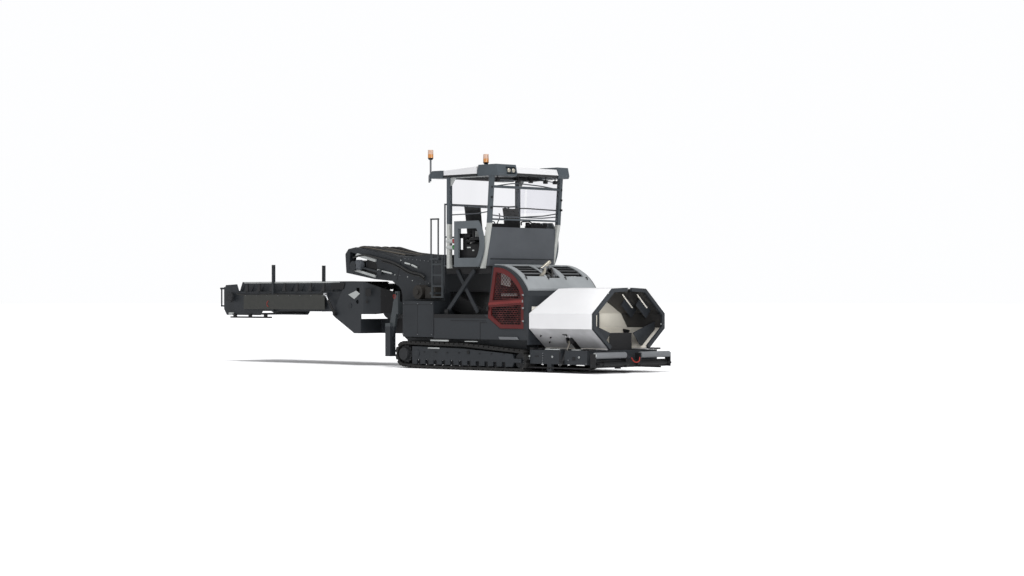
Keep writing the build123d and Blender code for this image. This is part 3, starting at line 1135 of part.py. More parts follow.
# Tail conveyor frame: side panels tied by cross tubes, hinge pins, posts and a rear guard
with BuildPart() as tail_frame:
    for sign in (-1, 1):
        side_plate(TAIL_PANEL, sign * TAIL_HALF, sign * (TAIL_HALF - TAIL_WALL))
        pin = (sign * (TAIL_HALF - TAIL_WALL), sign * (SWING_HALF + 12))
        rod((TAIL_HINGE_X, pin[0], TAIL_HINGE_Z), (TAIL_HINGE_X, pin[1], TAIL_HINGE_Z), TAIL_HINGE_R)
        post = (sign * TAIL_HALF, sign * (TAIL_HALF + 70))
        block((TAIL_POST_X - 35, TAIL_POST_X + 35), post, (TAIL_LOW - 20, TAIL_POST_TOP))
        x, z = LIFT_EYE
        ear = (sign * TAIL_HALF, sign * (LIFT_Y - LIFT_EYE_HALF - RUN))
        block((x - 50, x + 50), ear, (z - 50, z + 50))
        rod((TAIL_REAR + 40, sign * 700, 1480.0), (TAIL_TIP + 22, sign * 700, 1480.0), 22.0)
        rod((TAIL_REAR + 40, sign * 700, 1950.0), (TAIL_TIP, sign * 700, 1950.0), 26.0)
        rod((TAIL_TIP + 40, sign * 700, 1460.0), (TAIL_TIP + 40, sign * 700, 1960.0), 20.0)
        block((TAIL_REAR, TAIL_REAR + 60), (sign * 660, sign * TAIL_HALF), (1440.0, 1990.0))
    for x in IDLER_ROWS:
        z = TAIL_NOSE_Z + (x - TAIL_NOSE_X) * TAIL_CLIMB
        rod((x, -TAIL_HALF + 1, z), (x, TAIL_HALF - 1, z), TAIL_IDLER_R)
    block((-6700.0, -5450.0), (-TAIL_HALF + TAIL_WALL, TAIL_HALF - TAIL_WALL), (1250.0, 1290.0))
keep(tail_frame, "tail_frame")

SKIRT_IN, SKIRT_OUT, SKIRT_WALL, SKIRT_COVER = 660.0, 760.0, 20.0, 18.0
SKIRT_REAR, SKIRT_FRONT = -6300.0, -1950.0
SKIRT_LEDGE = 14.0
RIB_THICK = 14.0

# Conveyor skirts: a cover over the belt with ribs down both sides
with BuildPart() as tail_skirts:
    for wall, cover, mode in ((0.0, 0.0, Mode.ADD), (SKIRT_WALL, SKIRT_COVER, Mode.SUBTRACT)):
        left = [(SKIRT_IN - wall, TAIL_SKIRT_TOP - cover), (SKIRT_OUT - wall, TAIL_SIDE_TOP)]
        right = [(-y, z) for y, z in reversed(left)]
        cross_plate(right + left, SKIRT_REAR, SKIRT_FRONT, mode)
    for sign in (-1, 1):
        ledge = (sign * (SKIRT_OUT - SKIRT_WALL), sign * TAIL_HALF)
        block((SKIRT_REAR + 60, SKIRT_FRONT), ledge, (TAIL_SIDE_TOP, TAIL_SIDE_TOP + SKIRT_LEDGE))
        for number in range(SKIRT_RIBS):
            x = SKIRT_REAR + 120 + number * (SKIRT_FRONT - SKIRT_REAR - 200) / (SKIRT_RIBS - 1)
            foot = TAIL_SIDE_TOP + 5
            rib = [(SKIRT_IN, TAIL_SKIRT_TOP - 20), (TAIL_HALF - 10, foot), (SKIRT_OUT - SKIRT_WALL, foot)]
            cross_plate(mirrored(rib, sign), x, x + RIB_THICK)
keep(tail_skirts, "tail_skirts")

TAIL_BELT, TAIL_BELT_HALF = 16.0, 600.0
TAIL_MOTOR = 110.0
TAIL_WHEELS = ((TAIL_NOSE_X, TAIL_NOSE_Z, TAIL_NOSE_R), (TAIL_DRUM_X, TAIL_DRUM_Z, TAIL_DRUM_R))


def belt_face(grow):
    """Hull round the tail conveyor's two drums, grown by a distance."""
    with BuildSketch(Plane.XZ.offset(TAIL_BELT_HALF)) as hull:
        for x, z, radius in TAIL_WHEELS:
            with Locations((x, z)):
                Circle(radius + grow)
        make_hull()
    return hull.sketch


# Tail belt: a closed band round the two drums
with BuildPart() as tail_belt:
    extrude(belt_face(RUN + TAIL_BELT), amount=-2 * TAIL_BELT_HALF)
    extrude(belt_face(RUN), amount=-2 * TAIL_BELT_HALF, mode=Mode.SUBTRACT)
keep(tail_belt, "tail_belt")

# Tail drums: nose drum and driven head drum on shafts between the panels, motors outside
with BuildPart() as tail_drums:
    for x, z, radius in TAIL_WHEELS:
        inner = TAIL_HALF - TAIL_WALL
        rod((x, -TAIL_BELT_HALF, z), (x, TAIL_BELT_HALF, z), radius)
        rod((x, -inner, z), (x, inner, z), 40.0)
    for sign in (-1, 1):
        motor = (sign * TAIL_HALF, sign * (TAIL_HALF + TAIL_MOTOR))
        rod((TAIL_DRUM_X, motor[0], TAIL_DRUM_Z), (TAIL_DRUM_X, motor[1], TAIL_DRUM_Z), TAIL_MOTOR)
keep(tail_drums, "tail_drums")

LIFT_REACH = Vector(LIFT_EYE[0] - LIFT_BASE[0], 0, LIFT_EYE[1] - LIFT_BASE[1])
LIFT_LENGTH = LIFT_REACH.length


def lift_point(sign, distance):
    """A point on a lift cylinder's axis, by its distance from the base pin."""
    along = LIFT_REACH.normalized() * distance
    return (LIFT_BASE[0] + along.X, sign * LIFT_Y, LIFT_BASE[1] + along.Z)


LIFT_FOOT = (SWING_HALF + RUN, LIFT_Y + LIFT_EYE_HALF)
LIFT_EYE_SPAN = (LIFT_Y - LIFT_EYE_HALF, LIFT_Y + LIFT_EYE_HALF)
LIFT_FOOT_R, LIFT_BORE_START = 43.0, 60.0

# Lift cylinders: a pair of barrels on the swing frame and a pair of rods to the conveyor
with BuildPart() as lift_barrels:
    for sign in (-1, 1):
        rod(lift_point(sign, 0), lift_point(sign, LIFT_BARREL_LENGTH), LIFT_R)
        x, z = LIFT_BASE
        rod((x, sign * LIFT_FOOT[0], z), (x, sign * LIFT_FOOT[1], z), LIFT_FOOT_R)
        bore = (lift_point(sign, LIFT_BORE_START), lift_point(sign, LIFT_BARREL_LENGTH + 1))
        rod(*bore, LIFT_ROD_R + RUN, Mode.SUBTRACT)
keep(lift_barrels, "lift_barrels")

with BuildPart() as lift_rods:
    for sign in (-1, 1):
        rod(lift_point(sign, LIFT_ROD_START), lift_point(sign, LIFT_LENGTH), LIFT_ROD_R)
        x, z = LIFT_EYE
        rod((x, sign * LIFT_EYE_SPAN[0], z), (x, sign * LIFT_EYE_SPAN[1], z), LIFT_R)
keep(lift_rods, "lift_rods")
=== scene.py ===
import math

import bmesh
import bpy
from mathutils import Matrix, Vector
from mathutils.geometry import interpolate_bezier


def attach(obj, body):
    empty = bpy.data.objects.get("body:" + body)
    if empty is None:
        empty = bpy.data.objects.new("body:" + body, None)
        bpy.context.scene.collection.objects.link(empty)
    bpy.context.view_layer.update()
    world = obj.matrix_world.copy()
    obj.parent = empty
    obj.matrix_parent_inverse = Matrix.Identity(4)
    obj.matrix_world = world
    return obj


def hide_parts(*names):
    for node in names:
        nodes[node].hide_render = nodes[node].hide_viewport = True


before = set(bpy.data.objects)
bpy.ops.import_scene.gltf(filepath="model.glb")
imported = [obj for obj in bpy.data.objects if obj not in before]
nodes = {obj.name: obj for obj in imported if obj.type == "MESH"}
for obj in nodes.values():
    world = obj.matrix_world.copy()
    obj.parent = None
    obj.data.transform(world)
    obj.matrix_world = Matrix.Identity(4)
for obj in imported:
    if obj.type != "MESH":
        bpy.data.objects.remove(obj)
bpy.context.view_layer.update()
SIDES = (("right", -1), ("left", 1))

# Distances of the machine's side faces from its middle line, in metres
HULL_SIDE, FRAME_SIDE, TRACK_SIDE = 1.2, 1.18, 1.247
NECK_SIDE, SWING_SIDE, TAIL_SIDE = 0.82, 0.87, 0.82

# Colours
WHITE, OFF_WHITE = (0.64, 0.64, 0.65), (0.42, 0.43, 0.41)
ANTHRACITE, BLUE_GREY, PANEL_GREY = (0.021, 0.024, 0.028), (0.060, 0.072, 0.082), (0.072, 0.079, 0.089)
# The first colour of this line is painted shade for the canopy's underside
ROOF_PAINTED_SHADE, WING_LINING, PALE_LINING = (0.012, 0.013, 0.014), (0.035, 0.034, 0.033), (0.52, 0.50, 0.45)
FLOOR_SILVER, FLOOR_WORN, CHEEK_BLACK = (0.43, 0.43, 0.44), (0.62, 0.59, 0.53), (0.01, 0.01, 0.011)
DOOR_RED, BAR_RED, LEAF_GREY = (0.085, 0.0085, 0.0085), (0.16, 0.022, 0.021), (0.22, 0.225, 0.23)
WIRE_DULL, WIRE_PAINTED_SHEEN, MESH_SLOT = (0.02, 0.004, 0.004), (0.13, 0.032, 0.03), (0.004, 0.003, 0.003)

# Shares of gloss, relief of sprayed paint and grain of rolled plate
SPRAYED_GLOSS, PARTED_GLOSS, RUBBER_GLOSS = 0.22, 0.25, 0.3
PEEL_SCALE, PEEL_STRENGTH, PEEL_DEPTH = 420, 0.05, 0.0015
PAINT_ROUNDING, PLATE_ROUNDING = 0.006, 0.004
ROLLED_GRAIN, EVEN_GRAIN = (1, 14, 14), (1, 1, 1)


# Parts of a finish
def new_finish(name):
    """A node material with its shader, and a socket that gives places on the object."""
    finish = bpy.data.materials.new(name)
    finish.use_nodes = True
    tree = finish.node_tree
    shader = tree.nodes["Principled BSDF"]
    place = tree.nodes.new("ShaderNodeTexCoord")
    return finish, tree, shader, place.outputs["Object"]


def noise(tree, place, scale, detail=4.0, rough=0.55, stretch=EVEN_GRAIN):
    """Noise over the object, stretched along its axes."""
    mapping = tree.nodes.new("ShaderNodeMapping")
    mapping.inputs["Scale"].default_value = stretch
    tree.links.new(place, mapping.inputs["Vector"])
    texture = tree.nodes.new("ShaderNodeTexNoise")
    texture.inputs["Scale"].default_value = scale
    texture.inputs["Detail"].default_value = detail
    texture.inputs["Roughness"].default_value = rough
    tree.links.new(mapping.outputs["Vector"], texture.inputs["Vector"])
    return texture.outputs["Fac"]


def ramp(tree, value, stops):
    """Turn a value into a colour by (place, colour) stops."""
    node = tree.nodes.new("ShaderNodeValToRGB")
    elements = node.color_ramp.elements
    while len(elements) < len(stops):
        elements.new(0.5)
    for element, (position, colour) in zip(elements, stops):
        element.position = position
        element.color = (*colour, 1)
    tree.links.new(value, node.inputs["Fac"])
    return node.outputs["Color"]


def grey(level):
    """A neutral colour of one level."""
    return (level, level, level)


def shade(colour, level):
    """A colour made darker or paler by a factor, up to full brightness."""
    return tuple(min(1.0, channel * level) for channel in colour)


def blend_colours(tree, share, below, above):
    """Mix two colours, each a socket or a plain colour, by a share."""
    node = tree.nodes.new("ShaderNodeMix")
    node.data_type = "RGBA"
    sockets = {s.identifier: s for s in node.inputs}
    for key, value in (("Factor_Float", share), ("A_Color", below), ("B_Color", above)):
        if isinstance(value, bpy.types.NodeSocket):
            tree.links.new(value, sockets[key])
        else:
            sockets[key].default_value = (*value, 1)
    return {s.identifier: s for s in node.outputs}["Result_Color"]


def calculate(tree, how, first, second=0.0):
    """One step of arithmetic on sockets or plain numbers."""
    node = tree.nodes.new("ShaderNodeMath")
    node.operation = how
    for socket, value in zip(node.inputs, (first, second)):
        if isinstance(value, bpy.types.NodeSocket):
            tree.links.new(value, socket)
        else:
            socket.default_value = value
    return node.outputs["Value"]


def under(tree, value, limit):
    """One where a value is less than a limit."""
    return calculate(tree, "LESS_THAN", value, limit)


def over(tree, value, limit):
    """One where a value is more than a limit."""
    return calculate(tree, "GREATER_THAN", value, limit)


def both(tree, first, second):
    """One where two shares are one."""
    return calculate(tree, "MULTIPLY", first, second)


def within(tree, value, middle, half):
    """One where a value lies nearer to a middle than a half width."""
    off = calculate(tree, "SUBTRACT", value, middle)
    return under(tree, calculate(tree, "ABSOLUTE", off), half)


def split(tree, vector):
    """The X, Y and Z of a vector socket."""
    node = tree.nodes.new("ShaderNodeSeparateXYZ")
    tree.links.new(vector, node.inputs["Vector"])
    return node.outputs["X"], node.outputs["Y"], node.outputs["Z"]


def facing(tree):
    """The X, Y and Z of the way that a face looks."""
    return split(tree, tree.nodes.new("ShaderNodeTexCoord").outputs["Normal"])


def relief(tree, shader, height, strength, distance, rounding=0.0):
    """Raise the surface by a height, over edges rounded by a radius."""
    bump = tree.nodes.new("ShaderNodeBump")
    bump.inputs["Strength"].default_value = strength
    bump.inputs["Distance"].default_value = distance
    tree.links.new(height, bump.inputs["Height"])
    if rounding:
        edge = tree.nodes.new("ShaderNodeBevel")
        edge.samples = 4
        edge.inputs["Radius"].default_value = rounding
        tree.links.new(edge.outputs["Normal"], bump.inputs["Normal"])
    tree.links.new(bump.outputs["Normal"], shader.inputs["Normal"])


def orange_peel(tree, shader, place):
    """The fine relief of sprayed paint, over edges that catch the light."""
    peel = noise(tree, place, PEEL_SCALE, 2)
    relief(tree, shader, peel, PEEL_STRENGTH, PEEL_DEPTH, PAINT_ROUNDING)


def wear(tree, shader, value, smooth, dull):
    """Roughness that follows a noise from a smooth level to a dull one."""
    worn = ramp(tree, value, ((0.3, grey(smooth)), (0.75, grey(dull))))
    tree.links.new(worn, shader.inputs["Roughness"])


def painted(tree, place, colour, dust, uneven=0.16):
    """Colour of sprayed paint: a little uneven, with dust in specks."""
    broad = noise(tree, place, 1.3, 3)
    fine = noise(tree, place, 22, 6, 0.65)
    base = ramp(tree, broad, ((0.3, shade(colour, 1 - uneven)), (0.7, shade(colour, 1 + uneven / 2))))
    speck = ramp(tree, fine, ((0.52, grey(0)), (0.78, grey(dust))))
    dusty = tuple(0.8 * c + 0.02 for c in colour)
    return blend_colours(tree, speck, base, dusty), fine


# Kinds of finish
def paint(name, colour, roughness=0.42, dust=0.2):
    """Sprayed paint of one colour."""
    finish, tree, shader, place = new_finish(name)
    base, fine = painted(tree, place, colour, dust)
    tree.links.new(base, shader.inputs["Base Color"])
    wear(tree, shader, fine, roughness - 0.06, roughness + 0.14)
    shader.inputs["Specular IOR Level"].default_value = SPRAYED_GLOSS
    orange_peel(tree, shader, place)
    return finish


def parted_paint(name, share_of, below, above):
    """Two paints on one piece, parted by a share worked out from places and directions."""
    finish, tree, shader, place = new_finish(name)
    lower, fine = painted(tree, place, below, 0.1, 0.04)
    upper, _ = painted(tree, place, above, 0.1)
    base = blend_colours(tree, share_of(tree, place), lower, upper)
    tree.links.new(base, shader.inputs["Base Color"])
    wear(tree, shader, fine, 0.34, 0.54)
    shader.inputs["Specular IOR Level"].default_value = PARTED_GLOSS
    orange_peel(tree, shader, place)
    return finish


def bare_metal(name, colour, roughness, blotch, metallic=0.75, grain=EVEN_GRAIN):
    """Bare metal with a grain and darker blotches."""
    finish, tree, shader, place = new_finish(name)
    lines = noise(tree, place, 30, 5, 0.6, grain)
    patches = noise(tree, place, 2.6, 6, 0.7)
    base = ramp(tree, lines, ((0.25, shade(colour, 0.88)), (0.75, colour)))
    mask = ramp(tree, patches, ((0.5, grey(0)), (0.72, grey(blotch))))
    dull = shade(colour, 0.5)
    tree.links.new(blend_colours(tree, mask, base, dull), shader.inputs["Base Color"])
    wear(tree, shader, patches, roughness, roughness + 0.22)
    shader.inputs["Metallic"].default_value = metallic
    relief(tree, shader, lines, 0.08, 0.001, PLATE_ROUNDING)
    return finish


def rubber(name, colour, dusty, roughness=0.72):
    """Matt rubber, paler where dust lies."""
    finish, tree, shader, place = new_finish(name)
    patches = noise(tree, place, 5.5, 8, 0.7)
    fine = noise(tree, place, 160, 4)
    mask = ramp(tree, patches, ((0.42, grey(0)), (0.8, grey(0.6))))
    tree.links.new(blend_colours(tree, mask, colour, dusty), shader.inputs["Base Color"])
    shader.inputs["Roughness"].default_value = roughness
    shader.inputs["Specular IOR Level"].default_value = RUBBER_GLOSS
    relief(tree, shader, fine, 0.25, 0.002, PLATE_ROUNDING)
    return finish


def clear_glass(name, tint):
    """Thin glass: see-through, with a sheen that grows towards its edges."""
    finish, tree, shader, place = new_finish(name)
    through = tree.nodes.new("ShaderNodeBsdfTransparent")
    smear = noise(tree, place, 1.6, 3, 0.5, (1, 1, 0.3))
    tinted = ramp(tree, smear, ((0.35, tint), (0.7, shade(tint, 0.985))))
    tree.links.new(tinted, through.inputs["Color"])
    sheen = tree.nodes.new("ShaderNodeBsdfGlossy")
    sheen.inputs["Roughness"].default_value = 0.04
    edge = tree.nodes.new("ShaderNodeLayerWeight")
    edge.inputs["Blend"].default_value = 0.3
    mix = tree.nodes.new("ShaderNodeMixShader")
    stops = ((0.0, grey(0.01)), (0.5, grey(0.03)), (1.0, grey(0.3)))
    tree.links.new(ramp(tree, edge.outputs["Facing"], stops), mix.inputs[0])
    tree.links.new(through.outputs["BSDF"], mix.inputs[1])
    tree.links.new(sheen.outputs["BSDF"], mix.inputs[2])
    tree.links.new(mix.outputs["Shader"], tree.nodes["Material Output"].inputs["Surface"])
    tree.nodes.remove(shader)
    return finish


def lens(name, colour):
    """Coloured lens plastic with moulded flutes."""
    finish, tree, shader, place = new_finish(name)
    flutes = noise(tree, place, 60, 2, 0.4, (1, 1, 0.05))
    base = ramp(tree, flutes, ((0.35, shade(colour, 0.8)), (0.65, colour)))
    tree.links.new(base, shader.inputs["Base Color"])
    shader.inputs["Roughness"].default_value = 0.16
    shader.inputs["Coat Weight"].default_value = 0.6
    relief(tree, shader, flutes, 0.2, 0.002)
    return finish


# Shares that part the paints of one piece
ROOF_HOLLOW_X, ROOF_HOLLOW_REACH, ROOF_HOLLOW_HALF, ROOF_HOLLOW_TOP = 2.845, 1.0, 1.112, 4.652
ROOF_BAND_TOP = 4.612
HOPPER_MIDDLE_Z = 1.25
LOUVRE_START, LOUVRE_PITCH = 4.09, 0.56 / 9


def canopy_shade_share(tree, place):
    """Share of the canopy painted dark as painted shade: what looks down, its lower band and the walls of
    its hollow.
    """
    x, y, z = split(tree, place)
    down = under(tree, facing(tree)[2], -0.3)
    across = within(tree, y, 0.0, ROOF_HOLLOW_HALF)
    along = within(tree, x, ROOF_HOLLOW_X, ROOF_HOLLOW_REACH)
    hollow = both(tree, both(tree, across, along), under(tree, z, ROOF_HOLLOW_TOP))
    band = under(tree, z, ROOF_BAND_TOP)
    return calculate(tree, "MAXIMUM", band, calculate(tree, "MAXIMUM", down, hollow))


def inside_of_wing(tree, place):
    """Share of a wing's inner faces, which look towards the hopper's middle line."""
    _, y, z = split(tree, place)
    _, facing_y, facing_z = facing(tree)
    height = calculate(tree, "SUBTRACT", z, HOPPER_MIDDLE_Z)
    across = calculate(tree, "MULTIPLY", y, facing_y)
    outward = calculate(tree, "ADD", across, calculate(tree, "MULTIPLY", height, facing_z))
    return under(tree, outward, -0.06)


def slat_middles(tree, place):
    """Share of the pale band along the middle of every second slat."""
    along = calculate(tree, "SUBTRACT", split(tree, place)[0], LOUVRE_START)
    steps = calculate(tree, "DIVIDE", along, 2 * LOUVRE_PITCH)
    return within(tree, calculate(tree, "FRACT", steps), 0.25, 0.14)


def above_height(level):
    """A share that is one above a height."""
    def share(tree, place):
        return over(tree, split(tree, place)[2], level)
    return share


def ahead_of(place_x):
    """A share that is one ahead of a place along the machine."""
    def share(tree, place):
        return over(tree, split(tree, place)[0], place_x)
    return share


# Finishes of single pieces
DOOR_FACE, HINGE_LEAF_X, DOOR_DUST = 1.2015, 4.764, 0.03
PANE_OUT, PANE_HALF = 1.176, 0.0055
MESH_SCALE, MESH_WIRE, MESH_SMOOTH, MESH_OPEN = 5.5, 0.034, 0.3, 0.3
PALE_SLANT, PALE_RAGGED, PALE_REACH, PALE_TOP = 0.6, 0.06, 6.5, 1.62
CHEEK_X, CHEEK_HALF, CHEEK_TOP = 6.03, 0.09, 0.80


def door_finish():
    """Red doors: brighter bar, pale hinge leaves and a see-through mesh in the panes, its wires painted
    brighter in patches as a painted sheen.
    """
    finish, tree, shader, place = new_finish("hood_door")
    x, y, _ = split(tree, place)
    out = calculate(tree, "ABSOLUTE", y)
    proud = over(tree, out, DOOR_FACE)
    leaf = both(tree, proud, over(tree, x, HINGE_LEAF_X))
    base, fine = painted(tree, place, DOOR_RED, DOOR_DUST)
    bar, _ = painted(tree, place, BAR_RED, DOOR_DUST)
    colour = blend_colours(tree, leaf, blend_colours(tree, proud, base, bar), LEAF_GREY)
    pane = within(tree, out, PANE_OUT, PANE_HALF)
    turn = tree.nodes.new("ShaderNodeMapping")
    turn.inputs["Rotation"].default_value = (math.radians(-90), 0, 0)
    tree.links.new(place, turn.inputs["Vector"])
    slots = tree.nodes.new("ShaderNodeTexBrick")
    slots.inputs["Scale"].default_value = MESH_SCALE
    slots.inputs["Mortar Size"].default_value = MESH_WIRE
    slots.inputs["Mortar Smooth"].default_value = MESH_SMOOTH
    tree.links.new(turn.outputs["Vector"], slots.inputs["Vector"])
    # Patches of brighter wire are a painted sheen
    sheen = ramp(tree, noise(tree, place, 9, 3), ((0.35, grey(0.1)), (0.7, grey(1))))
    wire = blend_colours(tree, sheen, WIRE_DULL, WIRE_PAINTED_SHEEN)
    mesh = blend_colours(tree, slots.outputs["Fac"], MESH_SLOT, wire)
    tree.links.new(blend_colours(tree, pane, colour, mesh), shader.inputs["Base Color"])
    wear(tree, shader, fine, 0.32, 0.5)
    shader.inputs["Specular IOR Level"].default_value = PARTED_GLOSS
    clear = both(tree, pane, under(tree, slots.outputs["Fac"], MESH_OPEN))
    tree.links.new(calculate(tree, "SUBTRACT", 1.0, clear), shader.inputs["Alpha"])
    orange_peel(tree, shader, place)
    return finish


def wing_finish():
    """Wing skins: white outside, dark inside, with a pale area at the inside's rear."""
    finish, tree, shader, place = new_finish("wing_paint")
    x, _, z = split(tree, place)
    # A pale area over the rear of the inside, below a height, with a ragged front edge
    reach = calculate(tree, "ADD", x, calculate(tree, "MULTIPLY", z, PALE_SLANT))
    rag = calculate(tree, "MULTIPLY", noise(tree, place, 6, 4), PALE_RAGGED)
    behind = under(tree, calculate(tree, "ADD", reach, rag), PALE_REACH)
    rear = both(tree, behind, under(tree, z, PALE_TOP))
    white, fine = painted(tree, place, WHITE, 0.04, 0.04)
    dark, _ = painted(tree, place, WING_LINING, 0.1)
    pale, _ = painted(tree, place, PALE_LINING, 0.1)
    lining = blend_colours(tree, rear, dark, pale)
    base = blend_colours(tree, inside_of_wing(tree, place), white, lining)
    tree.links.new(base, shader.inputs["Base Color"])
    wear(tree, shader, fine, 0.28, 0.48)
    shader.inputs["Specular IOR Level"].default_value = PARTED_GLOSS
    orange_peel(tree, shader, place)
    return finish


def wing_floor_finish():
    """Wing floors: silver outside, worn beige inside, black round the cylinders' cheeks."""
    finish, tree, shader, place = new_finish("wing_floor_plate")
    x, _, z = split(tree, place)
    cheek = both(tree, within(tree, x, CHEEK_X, CHEEK_HALF), under(tree, z, CHEEK_TOP))
    silver, fine = painted(tree, place, FLOOR_SILVER, 0.1, 0.3)
    worn, _ = painted(tree, place, FLOOR_WORN, 0.1)
    inside = over(tree, facing(tree)[2], 0.1)
    plate = blend_colours(tree, inside, silver, worn)
    tree.links.new(blend_colours(tree, cheek, plate, CHEEK_BLACK), shader.inputs["Base Color"])
    wear(tree, shader, fine, 0.3, 0.5)
    grain = noise(tree, place, 40, 5, 0.6, ROLLED_GRAIN)
    relief(tree, shader, grain, 0.08, 0.001, PLATE_ROUNDING)
    return finish


# Finishes, and the pieces that have them
anthracite = paint("anthracite_paint", ANTHRACITE)
panel_grey = paint("panel_grey_paint", PANEL_GREY, 0.38, 0.05)
black_paint = paint("black_paint", (0.009, 0.009, 0.010), 0.5, 0.1)
ladder_paint = paint("ladder_paint", (0.034, 0.039, 0.043))
pod_grey = paint("pod_grey_paint", (0.095, 0.108, 0.118), 0.38, 0.05)
hood_grey = paint("pale_grey_paint", (0.25, 0.265, 0.275), 0.34, 0.08)
blue_grey = paint("blue_grey_paint", BLUE_GREY, 0.4, 0.12)
roller_grey = paint("roller_grey_paint", (0.13, 0.136, 0.144), 0.36, 0.15)
pale_grey = paint("pale_fitting_paint", (0.36, 0.375, 0.37), 0.42, 0.12)
cast_dark = paint("cast_dark", (0.022, 0.023, 0.025), 0.55, 0.3)
ring_red = paint("ring_red", (0.27, 0.02, 0.014), 0.5, 0.1)
# The canopy: white paint, with painted shade under it and in its hollow
white_canopy_with_shade = parted_paint("canopy_paint_and_painted_shade", canopy_shade_share, WHITE, ROOF_PAINTED_SHADE)
tub_paint = parted_paint("tub_paint", above_height(2.45), (0.010, 0.010, 0.011), PANEL_GREY)
# The swing frame is anthracite behind -0.78 and near black ahead of it, where the near black is painted
# shade under the discharge head
swing_frame_paint_and_shade = parted_paint("swing_frame_paint_and_shade", ahead_of(-0.78), ANTHRACITE, (0.006, 0.006, 0.007))
leg_paint = parted_paint("leg_paint", above_height(1.0), ANTHRACITE, (0.045, 0.052, 0.056))
# The chassis is anthracite below 1.217 and near black above it, where the near black is painted shade in
# the bay under the platform
hull_coat_and_painted_shade = parted_paint("hull_coat_and_painted_shade", above_height(1.217), ANTHRACITE, (0.007, 0.007, 0.008))
louvre_paint = parted_paint("louvre_paint", slat_middles, (0.008, 0.008, 0.009), (0.28, 0.29, 0.30))
post_paint = parted_paint("post_paint", above_height(3.45), OFF_WHITE, BLUE_GREY)
white_wing = wing_finish()
floor_plate = wing_floor_finish()
door_red = door_finish()
liner_steel = bare_metal("worn_liner", (0.78, 0.75, 0.68), 0.42, 0.15, 0.0, (6, 6, 1))
rod_chrome = bare_metal("plated_rod", (0.46, 0.47, 0.48), 0.2, 0.05)
dull_rod = bare_metal("dull_rod", (0.20, 0.185, 0.16), 0.35, 0.3, 0.5)
tube_steel = bare_metal("tube_steel", (0.50, 0.47, 0.40), 0.3, 0.4)
track_rubber = rubber("track_rubber", (0.008, 0.008, 0.008), (0.034, 0.032, 0.030))
belt_rubber = rubber("belt_rubber", (0.014, 0.014, 0.014), (0.05, 0.047, 0.044))
hose_rubber = rubber("hose_rubber", (0.012, 0.012, 0.012), (0.03, 0.028, 0.026), 0.5)
brown_hose = rubber("brown_hose", (0.075, 0.066, 0.055), (0.12, 0.11, 0.09), 0.55)
drum_brown = rubber("drum_brown", (0.016, 0.014, 0.012), (0.027, 0.024, 0.021), 0.6)
flap_rubber = rubber("flap_rubber", (0.026, 0.027, 0.024), (0.042, 0.042, 0.037), 0.5)
seat_cloth = rubber("seat_cloth", (0.018, 0.019, 0.020), (0.045, 0.047, 0.045), 0.85)
pane_glass = clear_glass("window_glass", (0.955, 0.955, 0.968))
amber_lens = lens("amber_lens", (0.58, 0.24, 0.055))
pale_lens = lens("pale_lens", (0.60, 0.40, 0.30))
red_lens = lens("red_lens", (0.32, 0.01, 0.012))
green_lens = lens("green_lens", (0.01, 0.2, 0.025))

FINISHES = {
    anthracite: (
        "track_frames", "conveyor_neck", "discharge_head", "side_boxes", "hood_shell",
        "front_frame", "scissor_inner", "scissor_outer", "tail_frame",
        "tail_skirts", "wing_flange_right", "wing_flange_left",
    ),
    panel_grey: ("handrails",),
    tub_paint: ("platform_tub",),
    pod_grey: ("side_pods",),
    hull_coat_and_painted_shade: ("chassis_frame",),
    track_rubber: ("track_right", "track_left"),
    belt_rubber: ("main_belt", "tail_belt"),
    cast_dark: ("running_gear", "engine", "tail_drums"),
    white_wing: ("wing_skin_right", "wing_skin_left"),
    white_canopy_with_shade: ("roof",),
    floor_plate: ("wing_floor_right", "wing_floor_left"),
    liner_steel: ("hopper_chute",),
    hood_grey: ("hood_top",),
    black_paint: (
        "consoles", "seats", "wing_barrel_right", "wing_barrel_left", "lift_barrels", "push_beam",
        "hopper_front_wall",
    ),
    louvre_paint: ("hood_louvres",),
    door_red: ("door_right", "door_left"),
    post_paint: ("platform_posts",),
    blue_grey: ("roof_blocks", "beacons"),
    ladder_paint: ("ladders",),
    leg_paint: ("rear_legs",),
    swing_frame_paint_and_shade: ("swing_frame",),
    roller_grey: ("push_roller_right", "push_roller_left"),
    rod_chrome: ("lift_rods",),
    dull_rod: ("wing_rod_right", "wing_rod_left"),
    tube_steel: ("exhaust",),
    pane_glass: ("windows",),
}
for finish, names in FINISHES.items():
    for name in names:
        nodes[name].data.materials.clear()
        nodes[name].data.materials.append(finish)


# Shapes
def round_edges(shape, verts, edge, segments=2):
    """Round every edge of the given corners."""
    if edge:
        edges = list({link for vert in verts for link in vert.link_edges})
        bmesh.ops.bevel(
            shape, geom=edges, offset=edge, segments=segments, profile=0.5, affect="EDGES", material=-1,
            clamp_overlap=True,
        )


def add_block(shape, low, high, edge=0.005):
    """A block between two corners."""
    size = Vector(high) - Vector(low)
    matrix = Matrix.Translation((Vector(low) + Vector(high)) / 2) @ Matrix.Diagonal((*size, 1))
    made = bmesh.ops.create_cube(shape, size=1, matrix=matrix)
    round_edges(shape, made["verts"], edge)


def add_side_block(shape, sign, along, out, up, edge=0.005):
    """A block on one side, by its ranges along the machine, out from the middle line and up."""
    add_block(shape, (along[0], sign * out[0], up[0]), (along[1], sign * out[1], up[1]), edge)


def add_block_about(shape, along, middle, half, up, edge=0.005):
    """A block about a place across the machine, by its half width and its ranges along it and up."""
    add_block(shape, (along[0], middle - half, up[0]), (along[1], middle + half, up[1]), edge)


